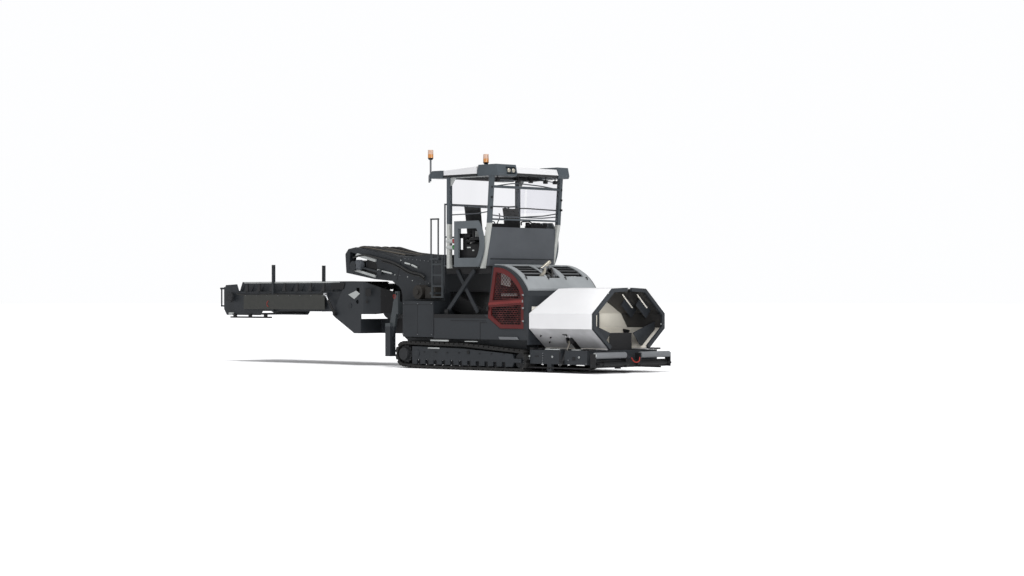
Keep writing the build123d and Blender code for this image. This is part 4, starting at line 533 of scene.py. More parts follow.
def add_side_plate(shape, outline, start, end, edge=0.003):
    """A plate that stands along the machine, with (x, z) corners, between two places across it."""
    corners = [shape.verts.new((x, start, z)) for x, z in outline]
    made = bmesh.ops.extrude_face_region(shape, geom=[shape.faces.new(corners)])
    moved = [piece for piece in made["geom"] if isinstance(piece, bmesh.types.BMVert)]
    bmesh.ops.translate(shape, verts=moved, vec=(0, end - start, 0))
    round_edges(shape, corners + moved, edge, 1)


def add_rod(shape, start, end, radius, sides=18, end_radius=None):
    """A round bar or cone from one point to another."""
    reach = Vector(end) - Vector(start)
    turn = reach.to_track_quat("Z", "Y").to_matrix().to_4x4()
    matrix = Matrix.Translation((Vector(start) + Vector(end)) / 2) @ turn
    last = radius if end_radius is None else end_radius
    bmesh.ops.create_cone(
        shape, cap_ends=True, segments=sides, radius1=radius, radius2=last, depth=reach.length,
        matrix=matrix,
    )


def add_side_rod(shape, middle, start, end, radius, sides=18, end_radius=None):
    """A round bar or cone across the machine, about an (x, z) middle."""
    x, z = middle
    add_rod(shape, (x, start, z), (x, end, z), radius, sides, end_radius)


def add_bolts(shape, places, direction, radius=0.016, height=0.012):
    """Six-sided bolt heads that stand on a face."""
    for place in places:
        add_rod(shape, place, Vector(place) + Vector(direction) * height, radius, 6)


def on_side(points, out):
    """Places of (x, z) points on a side face."""
    return [(x, out, z) for x, z in points]


def bolt_circle(middle, out, radius, count):
    """Places of bolts in a circle about an (x, z) middle on a side face."""
    angles = [2 * math.pi * number / count for number in range(count)]
    points = [(middle[0] + radius * math.cos(a), middle[1] + radius * math.sin(a)) for a in angles]
    return on_side(points, out)


def bent_path(points, bend):
    """A line of points with its corners rounded."""
    places = [Vector(point) for point in points]
    path = [places[0]]
    for before, here, after in zip(places, places[1:], places[2:]):
        arriving, leaving = (before - here).normalized(), (after - here).normalized()
        reach = min(bend, (before - here).length / 2, (after - here).length / 2)
        start, end = here + arriving * reach, here + leaving * reach
        path += interpolate_bezier(start, start.lerp(here, 0.6), end.lerp(here, 0.6), end, 7)
    return path + [places[-1]]


def add_tube(shape, points, radius, bend=0.06, sides=3):
    """A tube along a line of points with bent corners."""
    curve = bpy.data.curves.new("tube_line", "CURVE")
    curve.dimensions = "3D"
    curve.bevel_depth = radius
    curve.bevel_resolution = sides
    curve.use_fill_caps = True
    path = bent_path(points, bend)
    line = curve.splines.new("POLY")
    line.points.add(len(path) - 1)
    for point, place in zip(line.points, path):
        point.co = (*place, 1)
    holder = bpy.data.objects.new("tube_line", curve)
    mesh = bpy.data.meshes.new_from_object(holder)
    shape.from_mesh(mesh)
    bpy.data.objects.remove(holder)
    bpy.data.curves.remove(curve)
    bpy.data.meshes.remove(mesh)


def add_cushion(shape, middle, size, lean, rests):
    """A crowned cushion whose sides pull in between its corners, flat below where it rests."""
    cushion = bmesh.new()
    bmesh.ops.create_cube(cushion, size=2)
    bmesh.ops.subdivide_edges(cushion, edges=cushion.edges[:], cuts=9, use_grid_fill=True)
    for vert in cushion.verts:
        x, y, z = vert.co
        crown = 0.55 + 0.45 * (1 - x ** 4) * (1 - y ** 4)
        channel = 1 - 0.1 * math.exp(-(abs(y) - 0.55) ** 2 / 0.006)
        vert.co.x = x * (0.95 + 0.05 * y * y)
        vert.co.y = y * (0.95 + 0.05 * x * x)
        vert.co.z = -1 if rests and z < -0.5 else z * crown * channel
    scale = Matrix.Diagonal((*(Vector(size) / 2), 1))
    turn = Matrix.Rotation(math.radians(lean), 4, "Y")
    bmesh.ops.transform(cushion, matrix=Matrix.Translation(middle) @ turn @ scale, verts=cushion.verts)
    mesh = bpy.data.meshes.new("cushion")
    cushion.to_mesh(mesh)
    cushion.free()
    shape.from_mesh(mesh)
    bpy.data.meshes.remove(mesh)


def finish_piece(name, shape, finish, body):
    """Make a finished object of a shape and let it move with a body."""
    bmesh.ops.remove_doubles(shape, verts=shape.verts, dist=1e-5)
    bmesh.ops.recalc_face_normals(shape, faces=shape.faces)
    for face in shape.faces:
        face.smooth = True
    mesh = bpy.data.meshes.new(name)
    shape.to_mesh(mesh)
    shape.free()
    mesh.set_sharp_from_angle(angle=math.radians(34))
    mesh.materials.append(finish)
    piece = bpy.data.objects.new(name, mesh)
    bpy.context.scene.collection.objects.link(piece)
    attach(piece, body)
    return piece


# Seats: crowned cushions, and pedestals with arm rests
SEAT_Y, BACK_LEAN = 0.64, -98
CUSHION_X, CUSHION_Z, CUSHION_SIZE = 2.87, 2.955, (0.5, 0.5, 0.13)
BACK_X, BACK_Z, BACK_SIZE = 2.60, 3.44, (0.88, 0.46, 0.17)
PEDESTAL_X, PEDESTAL_Z, PEDESTAL_HALF = (2.70, 3.04), (2.48, 2.885), 0.16
ARM_X, ARM_Z, ARM_OFF, ARM_HALF = (2.66, 2.98), (3.12, 3.19), 0.29, 0.035
for side, sign in SIDES:
    y = sign * SEAT_Y
    shape = bmesh.new()
    add_cushion(shape, (CUSHION_X, y, CUSHION_Z), CUSHION_SIZE, 0, True)
    add_cushion(shape, (BACK_X, y, BACK_Z), BACK_SIZE, BACK_LEAN, False)
    cushions = finish_piece(f"seat_cushions_{side}", shape, seat_cloth, "platform")
    shape = bmesh.new()
    add_block_about(shape, PEDESTAL_X, y, PEDESTAL_HALF, PEDESTAL_Z, 0.012)
    for arm_y in (y - ARM_OFF, y + ARM_OFF):
        add_block_about(shape, ARM_X, arm_y, ARM_HALF, ARM_Z, 0.02)
    pedestal = finish_piece(f"seat_pedestal_{side}", shape, black_paint, "platform")
    if sign < 0:
        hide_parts("seats")
    else:
        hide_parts("seats")

# Consoles behind the pods, by ranges along, out and up: cabinet, arm pad, screen, desk and rear cabinet
CONSOLE_BLOCKS = (
    ((2.90, 3.34), (0.97, 1.19), (2.53, 2.96), 0.015),
    ((2.80, 3.16), (1.00, 1.16), (3.00, 3.06), 0.02),
    ((3.10, 3.17), (0.99, 1.19), (3.10, 3.30), 0.008),
    ((2.98, 3.30), (1.02, 1.18), (3.06, 3.12), 0.01),
    ((2.58, 2.92), (0.98, 1.15), (2.53, 2.84), 0.02),
    ((2.70, 2.84), (1.00, 1.12), (2.83, 3.14), 0.02),
    ((2.62, 2.98), (0.99, 1.16), (3.12, 3.22), 0.025),
)
# Pale blocks on the consoles and the screen: painted highlights
CONSOLE_PAINTED_HIGHLIGHTS = (
    ((2.93, 3.05), (1.19, 1.197), (2.87, 2.90)),
    ((3.11, 3.17), (1.19, 1.197), (2.80, 2.83)),
    ((2.83, 3.12), (1.05, 1.13), (3.06, 3.066)),
    ((3.00, 3.09), (1.06, 1.15), (3.12, 3.126)),
    ((3.172, 3.178), (1.02, 1.16), (3.13, 3.27)),
)
LEVER_OUT, KNOB_OUT = 1.06, 1.12
# A dark red strip at the front of each pod
POD_RED_STRIP = ((3.33, 2.68), (3.37, 2.68), (3.42, 3.0), (3.37, 3.30), (3.33, 3.30))
RED_STRIP_IN, RED_STRIP_OUT = 1.10, 1.12
for side, sign in SIDES:
    shape = bmesh.new()
    for along, out, up, edge in CONSOLE_BLOCKS:
        add_side_block(shape, sign, along, out, up, edge)
    add_rod(shape, (3.22, sign * LEVER_OUT, 2.96), (3.28, sign * LEVER_OUT, 3.22), 0.012)
    add_rod(shape, (3.05, sign * KNOB_OUT, 2.96), (3.09, sign * KNOB_OUT, 3.02), 0.03)
    finish_piece(f"side_console_{side}", shape, black_paint, "platform")
    # Painted highlights on the console, as pale blocks
    shape = bmesh.new()
    for along, out, up in CONSOLE_PAINTED_HIGHLIGHTS:
        add_side_block(shape, sign, along, out, up, 0)
    finish_piece(f"console_painted_highlights_{side}", shape, pale_grey, "platform")
    shape = bmesh.new()
    add_side_plate(shape, POD_RED_STRIP, sign * RED_STRIP_IN, sign * RED_STRIP_OUT)
    finish_piece(f"pod_red_strip_{side}", shape, red_lens, "platform")

# Signal lamps on the right rear post, with grey housings
SIGNAL_Y = -1.17
SIGNAL_BACK, SIGNAL_RIM, SIGNAL_FACE, SIGNAL_TIP = 2.235, 2.43, 2.45, 2.51
SIGNALS = (("red", 3.046, red_lens), ("green", 2.897, green_lens))
shape = bmesh.new()
for _, z, _ in SIGNALS:
    add_rod(shape, (SIGNAL_BACK, SIGNAL_Y, z), (SIGNAL_RIM, SIGNAL_Y, z), 0.05)
    add_rod(shape, (SIGNAL_RIM, SIGNAL_Y, z), (SIGNAL_FACE, SIGNAL_Y, z), 0.06)
finish_piece("signal_housings", shape, pale_grey, "platform")
for name, z, finish in SIGNALS:
    shape = bmesh.new()
    add_rod(shape, (SIGNAL_FACE, SIGNAL_Y, z), (SIGNAL_TIP, SIGNAL_Y, z), 0.052, 20, 0.036)
    finish_piece(f"signal_{name}", shape, finish, "platform")

# Rails of the platform: side rails, grab handles, and a rail and two wires across its front
RAIL_OUT, GRAB_HANDLE_X = 1.13, 3.46
GRAB_HANDLE = ((0.80, 3.34), (0.80, 3.49), (0.98, 3.49), (0.98, 3.34))
FRONT_LINES = (
    (((3.62, -1.09, 3.64), (3.66, -0.6, 3.60), (3.66, 0.6, 3.60), (3.62, 1.09, 3.64)), 0.015, 0.1),
    (((3.70, -1.10, 4.30), (3.72, -0.4, 4.40), (3.72, 0.5, 4.36), (3.70, 1.10, 4.30)), 0.014, 0.2),
    (((3.73, -1.10, 4.47), (3.75, 0.1, 4.45), (3.75, 0.55, 4.50), (3.73, 1.10, 4.44)), 0.012, 0.2),
)
shape = bmesh.new()
for _, sign in SIDES:
    out = sign * RAIL_OUT
    add_tube(shape, on_side(((2.33, 3.89), (2.60, 3.88), (3.62, 3.80)), out), 0.016)
    add_tube(shape, on_side(((2.33, 3.67), (3.20, 3.68), (3.62, 3.72)), out), 0.014)
    add_tube(shape, [(GRAB_HANDLE_X, sign * y, z) for y, z in GRAB_HANDLE], 0.014, 0.05)
for route, radius, bend in FRONT_LINES:
    add_tube(shape, route, radius, bend)
finish_piece("platform_rails", shape, panel_grey, "platform")

# Fittings under the canopy: hanging lamps, flat boxes, post clips, and controls over the front panel
LAMP_X, LAMP_TOP, LAMP_HALF = 3.74, 4.50, 0.05
BOX_HALF, CLIP_HEIGHT, SWITCH_HALF = 0.28, 0.05, 0.05
WHEEL_ARC = ((3.30, 0.25, 3.44), (3.24, 0.30, 3.52), (3.24, 0.60, 3.54), (3.30, 0.66, 3.44))
LEVER = ((3.30, -0.60, 3.40), (3.34, -0.5, 3.62), (3.20, -0.40, 3.70))
shape = bmesh.new()
for y in (-0.98, -0.30, 0.12, 0.62, 0.95):
    add_block_about(shape, (3.70, 3.78), y, LAMP_HALF, (4.42, LAMP_TOP), 0.012)
    add_rod(shape, (LAMP_X, y, LAMP_TOP), (LAMP_X, y, 4.57), 0.014)
for y in (-0.62, 0.40):
    add_block_about(shape, (3.55, 3.62), y, BOX_HALF, (4.49, 4.53), 0.01)
for z in (3.78, 4.02, 4.26):
    for _, sign in SIDES:
        add_side_block(shape, sign, (3.70, 3.76), (1.15, 1.195), (z, z + CLIP_HEIGHT), 0.01)
for x, y in ((3.44, 0.34), (3.44, 0.56), (3.42, 0.72), (3.45, 0.92)):
    add_block_about(shape, (x - 0.06, x + 0.02), y, SWITCH_HALF, (3.40, 3.50), 0.02)
add_tube(shape, WHEEL_ARC, 0.016, 0.1)
add_tube(shape, LEVER, 0.012, 0.1)
finish_piece("canopy_fittings", shape, black_paint, "platform")

# Gussets on the rear posts with a rod along the roof, and a dark strip of painted shade along the front
# panel's crease
GUSSET = ((2.30, 4.36), (2.36, 4.36), (2.50, 4.54), (2.50, 4.555), (2.30, 4.555))
GUSSET_OUT, GUSSET_HALF, ROOF_ROD_OUT = 1.15, 0.012, 1.12
shape = bmesh.new()
for _, sign in SIDES:
    out = sign * GUSSET_OUT
    add_side_plate(shape, GUSSET, out - GUSSET_HALF, out + GUSSET_HALF)
    add_rod(shape, (2.46, sign * ROOF_ROD_OUT, 4.545), (3.50, sign * ROOF_ROD_OUT, 4.55), 0.014)
finish_piece("post_gussets", shape, pale_grey, "platform")
# A dark strip along the front panel's crease is painted shade
shape = bmesh.new()
add_block(shape, (3.572, -1.06, 2.60), (3.585, 1.06, 2.63), 0.004)
finish_piece("crease_painted_shade", shape, anthracite, "platform")

# Lamps in the roof block, and the beacons with their lenses
ROOF_LAMP_Z, LENS_RADIUS, LENS_SHARE, FOOT_HEIGHT, ROOF_TOP = 4.675, 0.0665, 0.45, 0.045, 4.80
MAST_X, MAST_FOOT_X, MAST_Y = 1.665, 1.62, -1.19
BEACONS = (("mast", (MAST_X, MAST_Y), 5.05, 5.24), ("front", (3.42, -1.05), 4.875, 5.065))
shape = bmesh.new()
for y in (-0.825, -0.675):
    add_rod(shape, (3.955, y, ROOF_LAMP_Z), (3.972, y, ROOF_LAMP_Z), 0.05, 24, 0.04)
finish_piece("roof_lamp_glass", shape, tube_steel, "platform")
for name, (x, y), low, high in BEACONS:
    middle = low + LENS_SHARE * (high - low)
    shape = bmesh.new()
    add_rod(shape, (x, y, low), (x, y, middle), LENS_RADIUS, 24)
    finish_piece(f"beacon_{name}_lower", shape, amber_lens, "platform")
    shape = bmesh.new()
    add_rod(shape, (x, y, middle), (x, y, high), LENS_RADIUS, 24, 0.064)
    finish_piece(f"beacon_{name}_upper", shape, pale_lens, "platform")
    shape = bmesh.new()
    add_rod(shape, (x, y, low - FOOT_HEIGHT), (x, y, low), 0.045, 24, 0.07)
    if name == "front":
        add_rod(shape, (x, y, ROOF_TOP), (x, y, low - FOOT_HEIGHT), 0.024)
    finish_piece(f"beacon_{name}_foot", shape, black_paint, "platform")
mast_line = ((MAST_X, 5.01), (MAST_X, 4.66), (MAST_FOOT_X, 4.63), (MAST_FOOT_X, 4.46))
shape = bmesh.new()
add_tube(shape, on_side(mast_line, MAST_Y), 0.023, 0.04)
finish_piece("beacon_mast", shape, roller_grey, "platform")

# Pipes and hoses in the hood's exhaust well, and rubber catches on the hood
WELL_PIPE = ((4.30, -0.10, 2.30), (4.38, 0.02, 2.44), (4.46, 0.10, 2.38), (4.60, 0.12, 2.20))
TAIL_PIPE = ((4.62, -0.42, 2.22), (4.54, -0.24, 2.28), (4.40, -0.08, 2.41))
WELL_HOSES = (
    (((4.28, 0.06, 2.34), (4.40, 0.10, 2.42), (4.55, 0.02, 2.34), (4.66, -0.1, 2.16)), 0.026),
    (((4.30, -0.22, 2.36), (4.44, -0.24, 2.38), (4.58, -0.14, 2.28), (4.66, 0.0, 2.14)), 0.022),
)
shape = bmesh.new()
add_tube(shape, WELL_PIPE, 0.035, 0.08)
add_rod(shape, (4.42, -0.26, 2.30), (4.40, -0.06, 2.40), 0.066)
add_rod(shape, (4.55, -0.16, 2.20), (4.55, 0.06, 2.20), 0.05)
finish_piece("well_pipes", shape, roller_grey, "chassis")
shape = bmesh.new()
add_tube(shape, TAIL_PIPE, 0.042, 0.1, 5)
finish_piece("exhaust_tail", shape, tube_steel, "chassis")
shape = bmesh.new()
for route, radius in WELL_HOSES:
    add_tube(shape, route, radius, 0.08)
for y in (-1.02, -0.29, 0.29, 1.02):
    add_tube(shape, on_side(((4.68, 2.18), (4.72, 2.19), (4.74, 2.13)), y), 0.012, 0.02)
finish_piece("well_hoses", shape, hose_rubber, "chassis")

# Sides of the hood and hull: latches on the doors, ledges, inner plates and seams
LATCH_OUT, LATCH_HALF, LEDGE_OUT = 1.225, 0.012, 1.236
HOOD_LEDGE = ((4.06, 0.735), (4.66, 0.735), (4.60, 0.80), (4.02, 0.80))
HOOD_INNER_PLATE = ((3.92, 2.00), (4.22, 1.96), (4.22, 2.16), (4.02, 2.28), (3.92, 2.26))
HULL_SEAMS = (
    ((3.372, 3.60), (1.193, HULL_SIDE), (1.115, 1.125)),
    ((3.37, 3.378), (1.193, HULL_SIDE), (0.72, 1.12)),
    ((2.36, 3.56), (1.19, HULL_SIDE), (1.158, 1.168)),
    ((1.78, 1.79), (1.19, HULL_SIDE), (0.80, 1.20)),
)
for side, sign in SIDES:
    out = sign * LATCH_OUT
    shape = bmesh.new()
    add_block_about(shape, (3.61, 3.675), out, LATCH_HALF, (1.40, 1.49), 0.008)
    finish_piece(f"door_latch_{side}", shape, black_paint, f"hood_door_{side}")
    shape = bmesh.new()
    add_side_plate(shape, HOOD_LEDGE, sign * HULL_SIDE, sign * LEDGE_OUT)
    finish_piece(f"hood_ledge_{side}", shape, roller_grey, "chassis")
    shape = bmesh.new()
    add_side_plate(shape, HOOD_INNER_PLATE, sign * 1.02, sign * 1.05)
    add_side_block(shape, sign, (3.90, 4.42), (1.0, 1.03), (1.74, 1.80), 0.01)
    finish_piece(f"hood_side_plates_{side}", shape, pale_grey, "chassis")
    shape = bmesh.new()
    for along, out, up in HULL_SEAMS:
        add_side_block(shape, sign, along, out, up, 0)
    finish_piece(f"hull_seams_{side}", shape, black_paint, "chassis")

# Hopper wings: rivets, cover plates on the cylinders' cheeks, pale flap edges and flange bolts
WING_FLOOR_LOW, WING_FLOOR_HIGH = (0.638, 0.523), (1.2, 1.014)
WING_FLOOR_SLOPE = (WING_FLOOR_HIGH[0] - WING_FLOOR_LOW[0]) / (WING_FLOOR_HIGH[1] - WING_FLOOR_LOW[1])
RIVETS, RIVET_SINK = ((5.198, 0.859), (5.468, 0.825), (5.327, 0.721)), 0.02
CHEEK_COVER = ((5.90, 0.86), (6.02, 0.84), (6.06, 0.95), (5.86, 0.98))
HOPPER_FLAPS_X, HOPPER_FLAP_LOW, HOPPER_FLAP_HIGH = (6.24, 6.69), (0.93, 1.47), (0.59, 1.78)
FLANGE_X, FLANGE_BOLTS = 6.965, ((0.35, 1.86), (0.68, 1.80), (1.06, 1.40), (1.10, 1.10))
for side, sign in SIDES:
    body = f"hopper_wing_{side}"
    shape = bmesh.new()
    for x, z in RIVETS:
        y = sign * (WING_FLOOR_LOW[0] + (z - WING_FLOOR_LOW[1]) * WING_FLOOR_SLOPE)
        add_bolts(shape, ((x, y, z - RIVET_SINK),), (0, sign * 0.66, -0.75), 0.018, 0.035)
    finish_piece(f"wing_rivets_{side}", shape, black_paint, body)
    shape = bmesh.new()
    add_side_plate(shape, CHEEK_COVER, sign * 1.02, sign * 1.06)
    finish_piece(f"cheek_covers_{side}", shape, black_paint, body)
    shape = bmesh.new()
    for x in HOPPER_FLAPS_X:
        low, high = [(x, sign * y, z) for y, z in (HOPPER_FLAP_LOW, HOPPER_FLAP_HIGH)]
        add_rod(shape, low, high, 0.016, 10)
    finish_piece(f"flap_edges_{side}", shape, liner_steel, body)
    shape = bmesh.new()
    add_bolts(shape, [(FLANGE_X, sign * y, z) for y, z in FLANGE_BOLTS], (1, 0, 0))
    finish_piece(f"flange_bolts_{side}", shape, pale_grey, body)

# Front frame: bolt columns, caps, pale strips, black blocks of painted shade for holes, black ledges, and
# the push rollers' caps
CAP_PLACES, CAP_Z, CAP_DEPTH, MARK_DEPTH = (4.98, 5.703, 6.534), 0.367, 0.01, 0.004
FRAME_BOLTS = (
    [(4.786, 0.195 + 0.05 * n) for n in range(5)] + [(5.407, 0.18 + 0.052 * n) for n in range(6)]
    + [(4.98, 0.307), (5.703, 0.367), (6.534, 0.368), (6.20, 0.30), (6.75, 0.22)]
)
# Black blocks where the frame has holes: painted shade
FRAME_HOLE_SHADES = (
    ((6.32, 6.42), (0.295, 0.375)),
    ((5.15, 5.28), (0.36, 0.386)),
    ((5.92, 5.96), (0.14, 0.48)),
)
FRAME_TOP, TOP_LEDGES, LEDGE_LENGTH = 0.523, (4.95, 5.22, 5.60, 6.16, 6.62, 6.80), 0.12
ROLLER_AXIS = (7.075, 0.415)
for side, sign in SIDES:
    out = sign * FRAME_SIDE
    shape = bmesh.new()
    add_bolts(shape, on_side(FRAME_BOLTS, out), (0, sign, 0), 0.012)
    finish_piece(f"frame_bolts_{side}", shape, roller_grey, "chassis")
    shape = bmesh.new()
    for x in CAP_PLACES:
        add_side_rod(shape, (x, CAP_Z), out, out + sign * CAP_DEPTH, 0.024)
    add_side_block(shape, sign, (5.46, 5.88), (1.10, 1.17), (FRAME_TOP, 0.545), 0.004)
    add_side_block(shape, sign, (6.29, 6.52), (1.10, 1.17), (FRAME_TOP, 0.54), 0.004)
    finish_piece(f"frame_strips_{side}", shape, pale_grey, "chassis")
    # Painted shade in the holes, black ledges on top and a dark strip along the foot
    shape = bmesh.new()
    for along, up in FRAME_HOLE_SHADES:
        add_block_about(shape, along, out, MARK_DEPTH, up, 0)
    for x in TOP_LEDGES:
        add_side_block(shape, sign, (x, x + LEDGE_LENGTH), (1.04, 1.15), (FRAME_TOP, 0.56), 0.008)
    add_side_block(shape, sign, (4.90, 6.9), (1.168, FRAME_SIDE + 0.006), (0.10, 0.13), 0)
    finish_piece(f"frame_hole_shades_and_ledges_{side}", shape, black_paint, "chassis")
    shape = bmesh.new()
    add_side_rod(shape, ROLLER_AXIS, sign * 1.24, sign * 1.262, 0.055, 20)
    finish_piece(f"roller_caps_{side}", shape, pale_grey, f"push_tube_{side}")

# Red ring on the push beam
HITCH_RING = (
    (7.17, -0.14, 0.36), (7.2, -0.1, 0.27), (7.2, 0.0, 0.245), (7.2, 0.1, 0.27), (7.17, 0.14, 0.36),
)
shape = bmesh.new()
add_tube(shape, HITCH_RING, 0.012, 0.06)
finish_piece("hitch_ring", shape, ring_red, "push_bar")

# Tracks: steps, and bolts and a black disc of painted shade for a hole on the frames
TRACK_BOLTS = [(x, 0.40) for x in (1.5, 1.9, 2.3, 2.7, 3.4, 3.8, 4.2)]
# A black disc where the track frame has a hole: painted shade
TRACK_PAINTED_HOLE_SHADE = (3.019, 0.42)
for side, sign in SIDES:
    shape = bmesh.new()
    add_side_block(shape, sign, (1.72, 2.31), (1.19, 1.255), (0.665, 0.70), 0.006)
    add_side_block(shape, sign, (2.90, 3.30), (1.19, 1.25), (0.668, 0.685), 0.006)
    add_side_block(shape, sign, (1.64, 2.04), (1.245, 1.262), (0.485, 0.515), 0.004)
    finish_piece(f"track_steps_{side}", shape, pale_grey, "chassis")
    shape = bmesh.new()
    add_bolts(shape, on_side(TRACK_BOLTS, sign * TRACK_SIDE), (0, sign, 0), height=0.01)
    add_side_rod(shape, TRACK_PAINTED_HOLE_SHADE, sign * 1.24, sign * 1.252, 0.045, 20)
    finish_piece(f"track_frame_bolts_{side}", shape, black_paint, "chassis")

# Neck, head and side boxes: guide rails, bolts, seams, a black plate of painted shade for an opening in the
# head, rings, motors, hoses and cable drums
GUIDE_DEPTH, STAY_OFF, GRIP_OFF, WINDOW_DEPTH, SEAM_DEPTH = 0.05, 0.04, 0.02, 0.006, 0.004
UPPER_RAIL = ((-1.46, 2.755), (-0.72, 2.59), (-0.70, 2.655), (-1.40, 2.815))
LOWER_RAIL = ((-1.56, 2.385), (-0.73, 2.205), (-0.71, 2.265), (-1.60, 2.455))
NECK_BOLTS = ((-0.016, 2.269), (0.443, 2.214), (0.62, 2.12), (0.2, 2.62))
BOX_BOLTS = [(x, z) for x in (0.72, 1.22, 1.71) for z in (0.82, 1.56)]
NECK_SEAM = (
    [(0.35 + 0.14 * n, 2.66 - 0.012 * n) for n in range(9)]
    + [(0.10, 2.45), (0.16, 2.25), (0.9, 2.05), (1.2, 2.05)]
)
# A black plate where the head has an opening: painted shade
HEAD_OPENING_SHADE = ((-1.06, 2.685), (-0.76, 2.615), (-0.68, 2.45), (-0.72, 2.27), (-1.08, 2.35))
HEAD_SEAM = ((0.23, 2.72), (0.245, 2.72), (0.05, 2.12), (0.035, 2.12))
LEG_RING = ((0.33, 1.77), (0.42, 1.77), (0.40, 1.69), (0.35, 1.69), (0.33, 1.76))
MOTOR_AXIS, MOTOR_DEPTH, MOTOR_HUB, MOTOR_BOLT_RADIUS = (-1.291, 2.523), 0.12, 0.14, 0.1
NECK_HOSE = (
    (-1.536, 2.703), (-1.185, 2.783), (-0.493, 2.667), (0.073, 2.555), (0.521, 2.34), (0.963, 2.277),
    (1.094, 2.187),
)
HOSE_OFF, LOWER_HOSE_OFF, LOWER_HOSE_DROP = 0.05, 0.035, 0.06
DRUM_AXIS, DRUM_IN, DRUM_OUT, HUB_OUT = (1.10, 1.84), 0.84, 1.10, 1.13
for side, sign in SIDES:
    out = sign * NECK_SIDE
    shape = bmesh.new()
    for rail in (UPPER_RAIL, LOWER_RAIL):
        add_side_plate(shape, rail, out, out + sign * GUIDE_DEPTH)
    stay, grip = out + sign * STAY_OFF, out + sign * GRIP_OFF
    add_rod(shape, (-0.62, stay, 2.39), (-0.10, stay, 2.30), 0.02)
    add_rod(shape, (0.365, grip, 2.552), (0.554, grip, 2.52), 0.022)
    add_rod(shape, (0.61, grip, 2.504), (0.809, grip, 2.435), 0.022)
    add_bolts(shape, on_side(NECK_BOLTS, out), (0, sign, 0))
    finish_piece(f"guide_rails_{side}", shape, pale_grey, "chassis")
    shape = bmesh.new()
    add_bolts(shape, on_side(BOX_BOLTS, sign * HULL_SIDE), (0, sign, 0), 0.013)
    add_bolts(shape, on_side(NECK_SEAM, out), (0, sign, 0), 0.013)
    finish_piece(f"box_bolts_{side}", shape, roller_grey, "chassis")
    shape = bmesh.new()
    add_side_block(shape, sign, (1.205, 1.213), (1.196, 1.202), (0.78, 1.60), 0)
    add_side_block(shape, sign, (0.68, 1.75), (1.196, 1.202), (1.535, 1.543), 0)
    finish_piece(f"box_seams_{side}", shape, black_paint, "chassis")
    # Painted shade for the head's opening, and a dark seam
    shape = bmesh.new()
    add_side_plate(shape, HEAD_OPENING_SHADE, out, out + sign * WINDOW_DEPTH)
    add_side_plate(shape, HEAD_SEAM, out, out + sign * SEAM_DEPTH)
    finish_piece(f"head_opening_shade_{side}", shape, black_paint, "chassis")
    shape = bmesh.new()
    add_tube(shape, on_side(LEG_RING, sign * HULL_SIDE), 0.007, 0.02)
    finish_piece(f"leg_ring_{side}", shape, ring_red, "chassis")
    shape = bmesh.new()
    motor_face = out + sign * MOTOR_DEPTH
    add_side_rod(shape, MOTOR_AXIS, out, motor_face, 0.13, 28)
    add_side_rod(shape, MOTOR_AXIS, motor_face, out + sign * MOTOR_HUB, 0.10, 28, 0.07)
    add_bolts(shape, bolt_circle(MOTOR_AXIS, motor_face, MOTOR_BOLT_RADIUS, 8), (0, sign, 0), 0.014, 0.014)
    finish_piece(f"head_motor_{side}", shape, panel_grey, "chassis")
    shape = bmesh.new()
    add_tube(shape, on_side(NECK_HOSE, out + sign * HOSE_OFF), 0.022, 0.25)
    lower_hose = [(x, z - LOWER_HOSE_DROP) for x, z in NECK_HOSE[2:]]
    add_tube(shape, on_side(lower_hose, out + sign * LOWER_HOSE_OFF), 0.016, 0.25)
    finish_piece(f"neck_hoses_{side}", shape, hose_rubber, "chassis")
    shape = bmesh.new()
    add_side_rod(shape, DRUM_AXIS, sign * DRUM_IN, sign * DRUM_OUT, 0.17, 28)
    add_side_rod(shape, DRUM_AXIS, sign * DRUM_OUT, sign * HUB_OUT, 0.06, 20)
    add_side_block(shape, sign, (1.30, 1.68), (DRUM_IN, 1.05), (1.68, 1.96), 0.02)
    finish_piece(f"cable_drum_{side}", shape, drum_brown, "chassis")

# Hoses and pipes along the top of the head and neck
shape = bmesh.new()
for number, y in enumerate((-0.62, -0.5, -0.38, -0.2, 0.1, 0.36, 0.55)):
    head_end = ((-1.70, y, 2.93), (-1.45, y, 3.00), (-0.70, y + 0.04, 2.90 - 0.012 * number))
    neck_end = ((-0.05, y - 0.03, 2.775), (0.6, y, 2.73), (1.3, y, 2.60))
    add_tube(shape, head_end + neck_end, 0.022, 0.2)
finish_piece("top_hoses", shape, hose_rubber, "chassis")
shape = bmesh.new()
for y in (-0.70, -0.12):
    pipe = ((-1.74, y, 2.90), (-1.40, y, 2.985), (-0.60, y, 2.875), (0.2, y + 0.02, 2.76))
    add_tube(shape, pipe, 0.018, 0.2)
finish_piece("top_pipes", shape, brown_hose, "chassis")

# Foot plate on the tail conveyor's right side
FOOT_HALF, FOOT_Y, FOOT_DEPTH = 0.05, -0.83, 0.06
shape = bmesh.new()
add_block(shape, (-6.55, -0.88, 1.165), (-4.94, -0.74, 1.205), 0.006)
for x in (-6.4, -5.75, -5.1):
    add_block_about(shape, (x - FOOT_HALF, x + FOOT_HALF), FOOT_Y, FOOT_DEPTH / 2, (1.20, 1.27), 0.006)
finish_piece("tail_floor_plate", shape, black_paint, "tail_conveyor")

# Swing frame
SWING_PAD = ((-1.724, 1.781), (-1.419, 1.88), (-1.278, 1.803), (-1.489, 1.665))
# A black disc and a black slot on the swing frame are painted shade for its holes
SWING_PAINTED_HOLE_SHADE, SWING_PAD_DEPTH, HOLE_DEPTH, SLOT_HALF = (-1.011, 1.597), 0.01, 0.004, 0.002
SWING_BOLTS = ((-0.5, 1.95), (-0.3, 1.95), (-0.5, 1.75), (-0.3, 1.75))


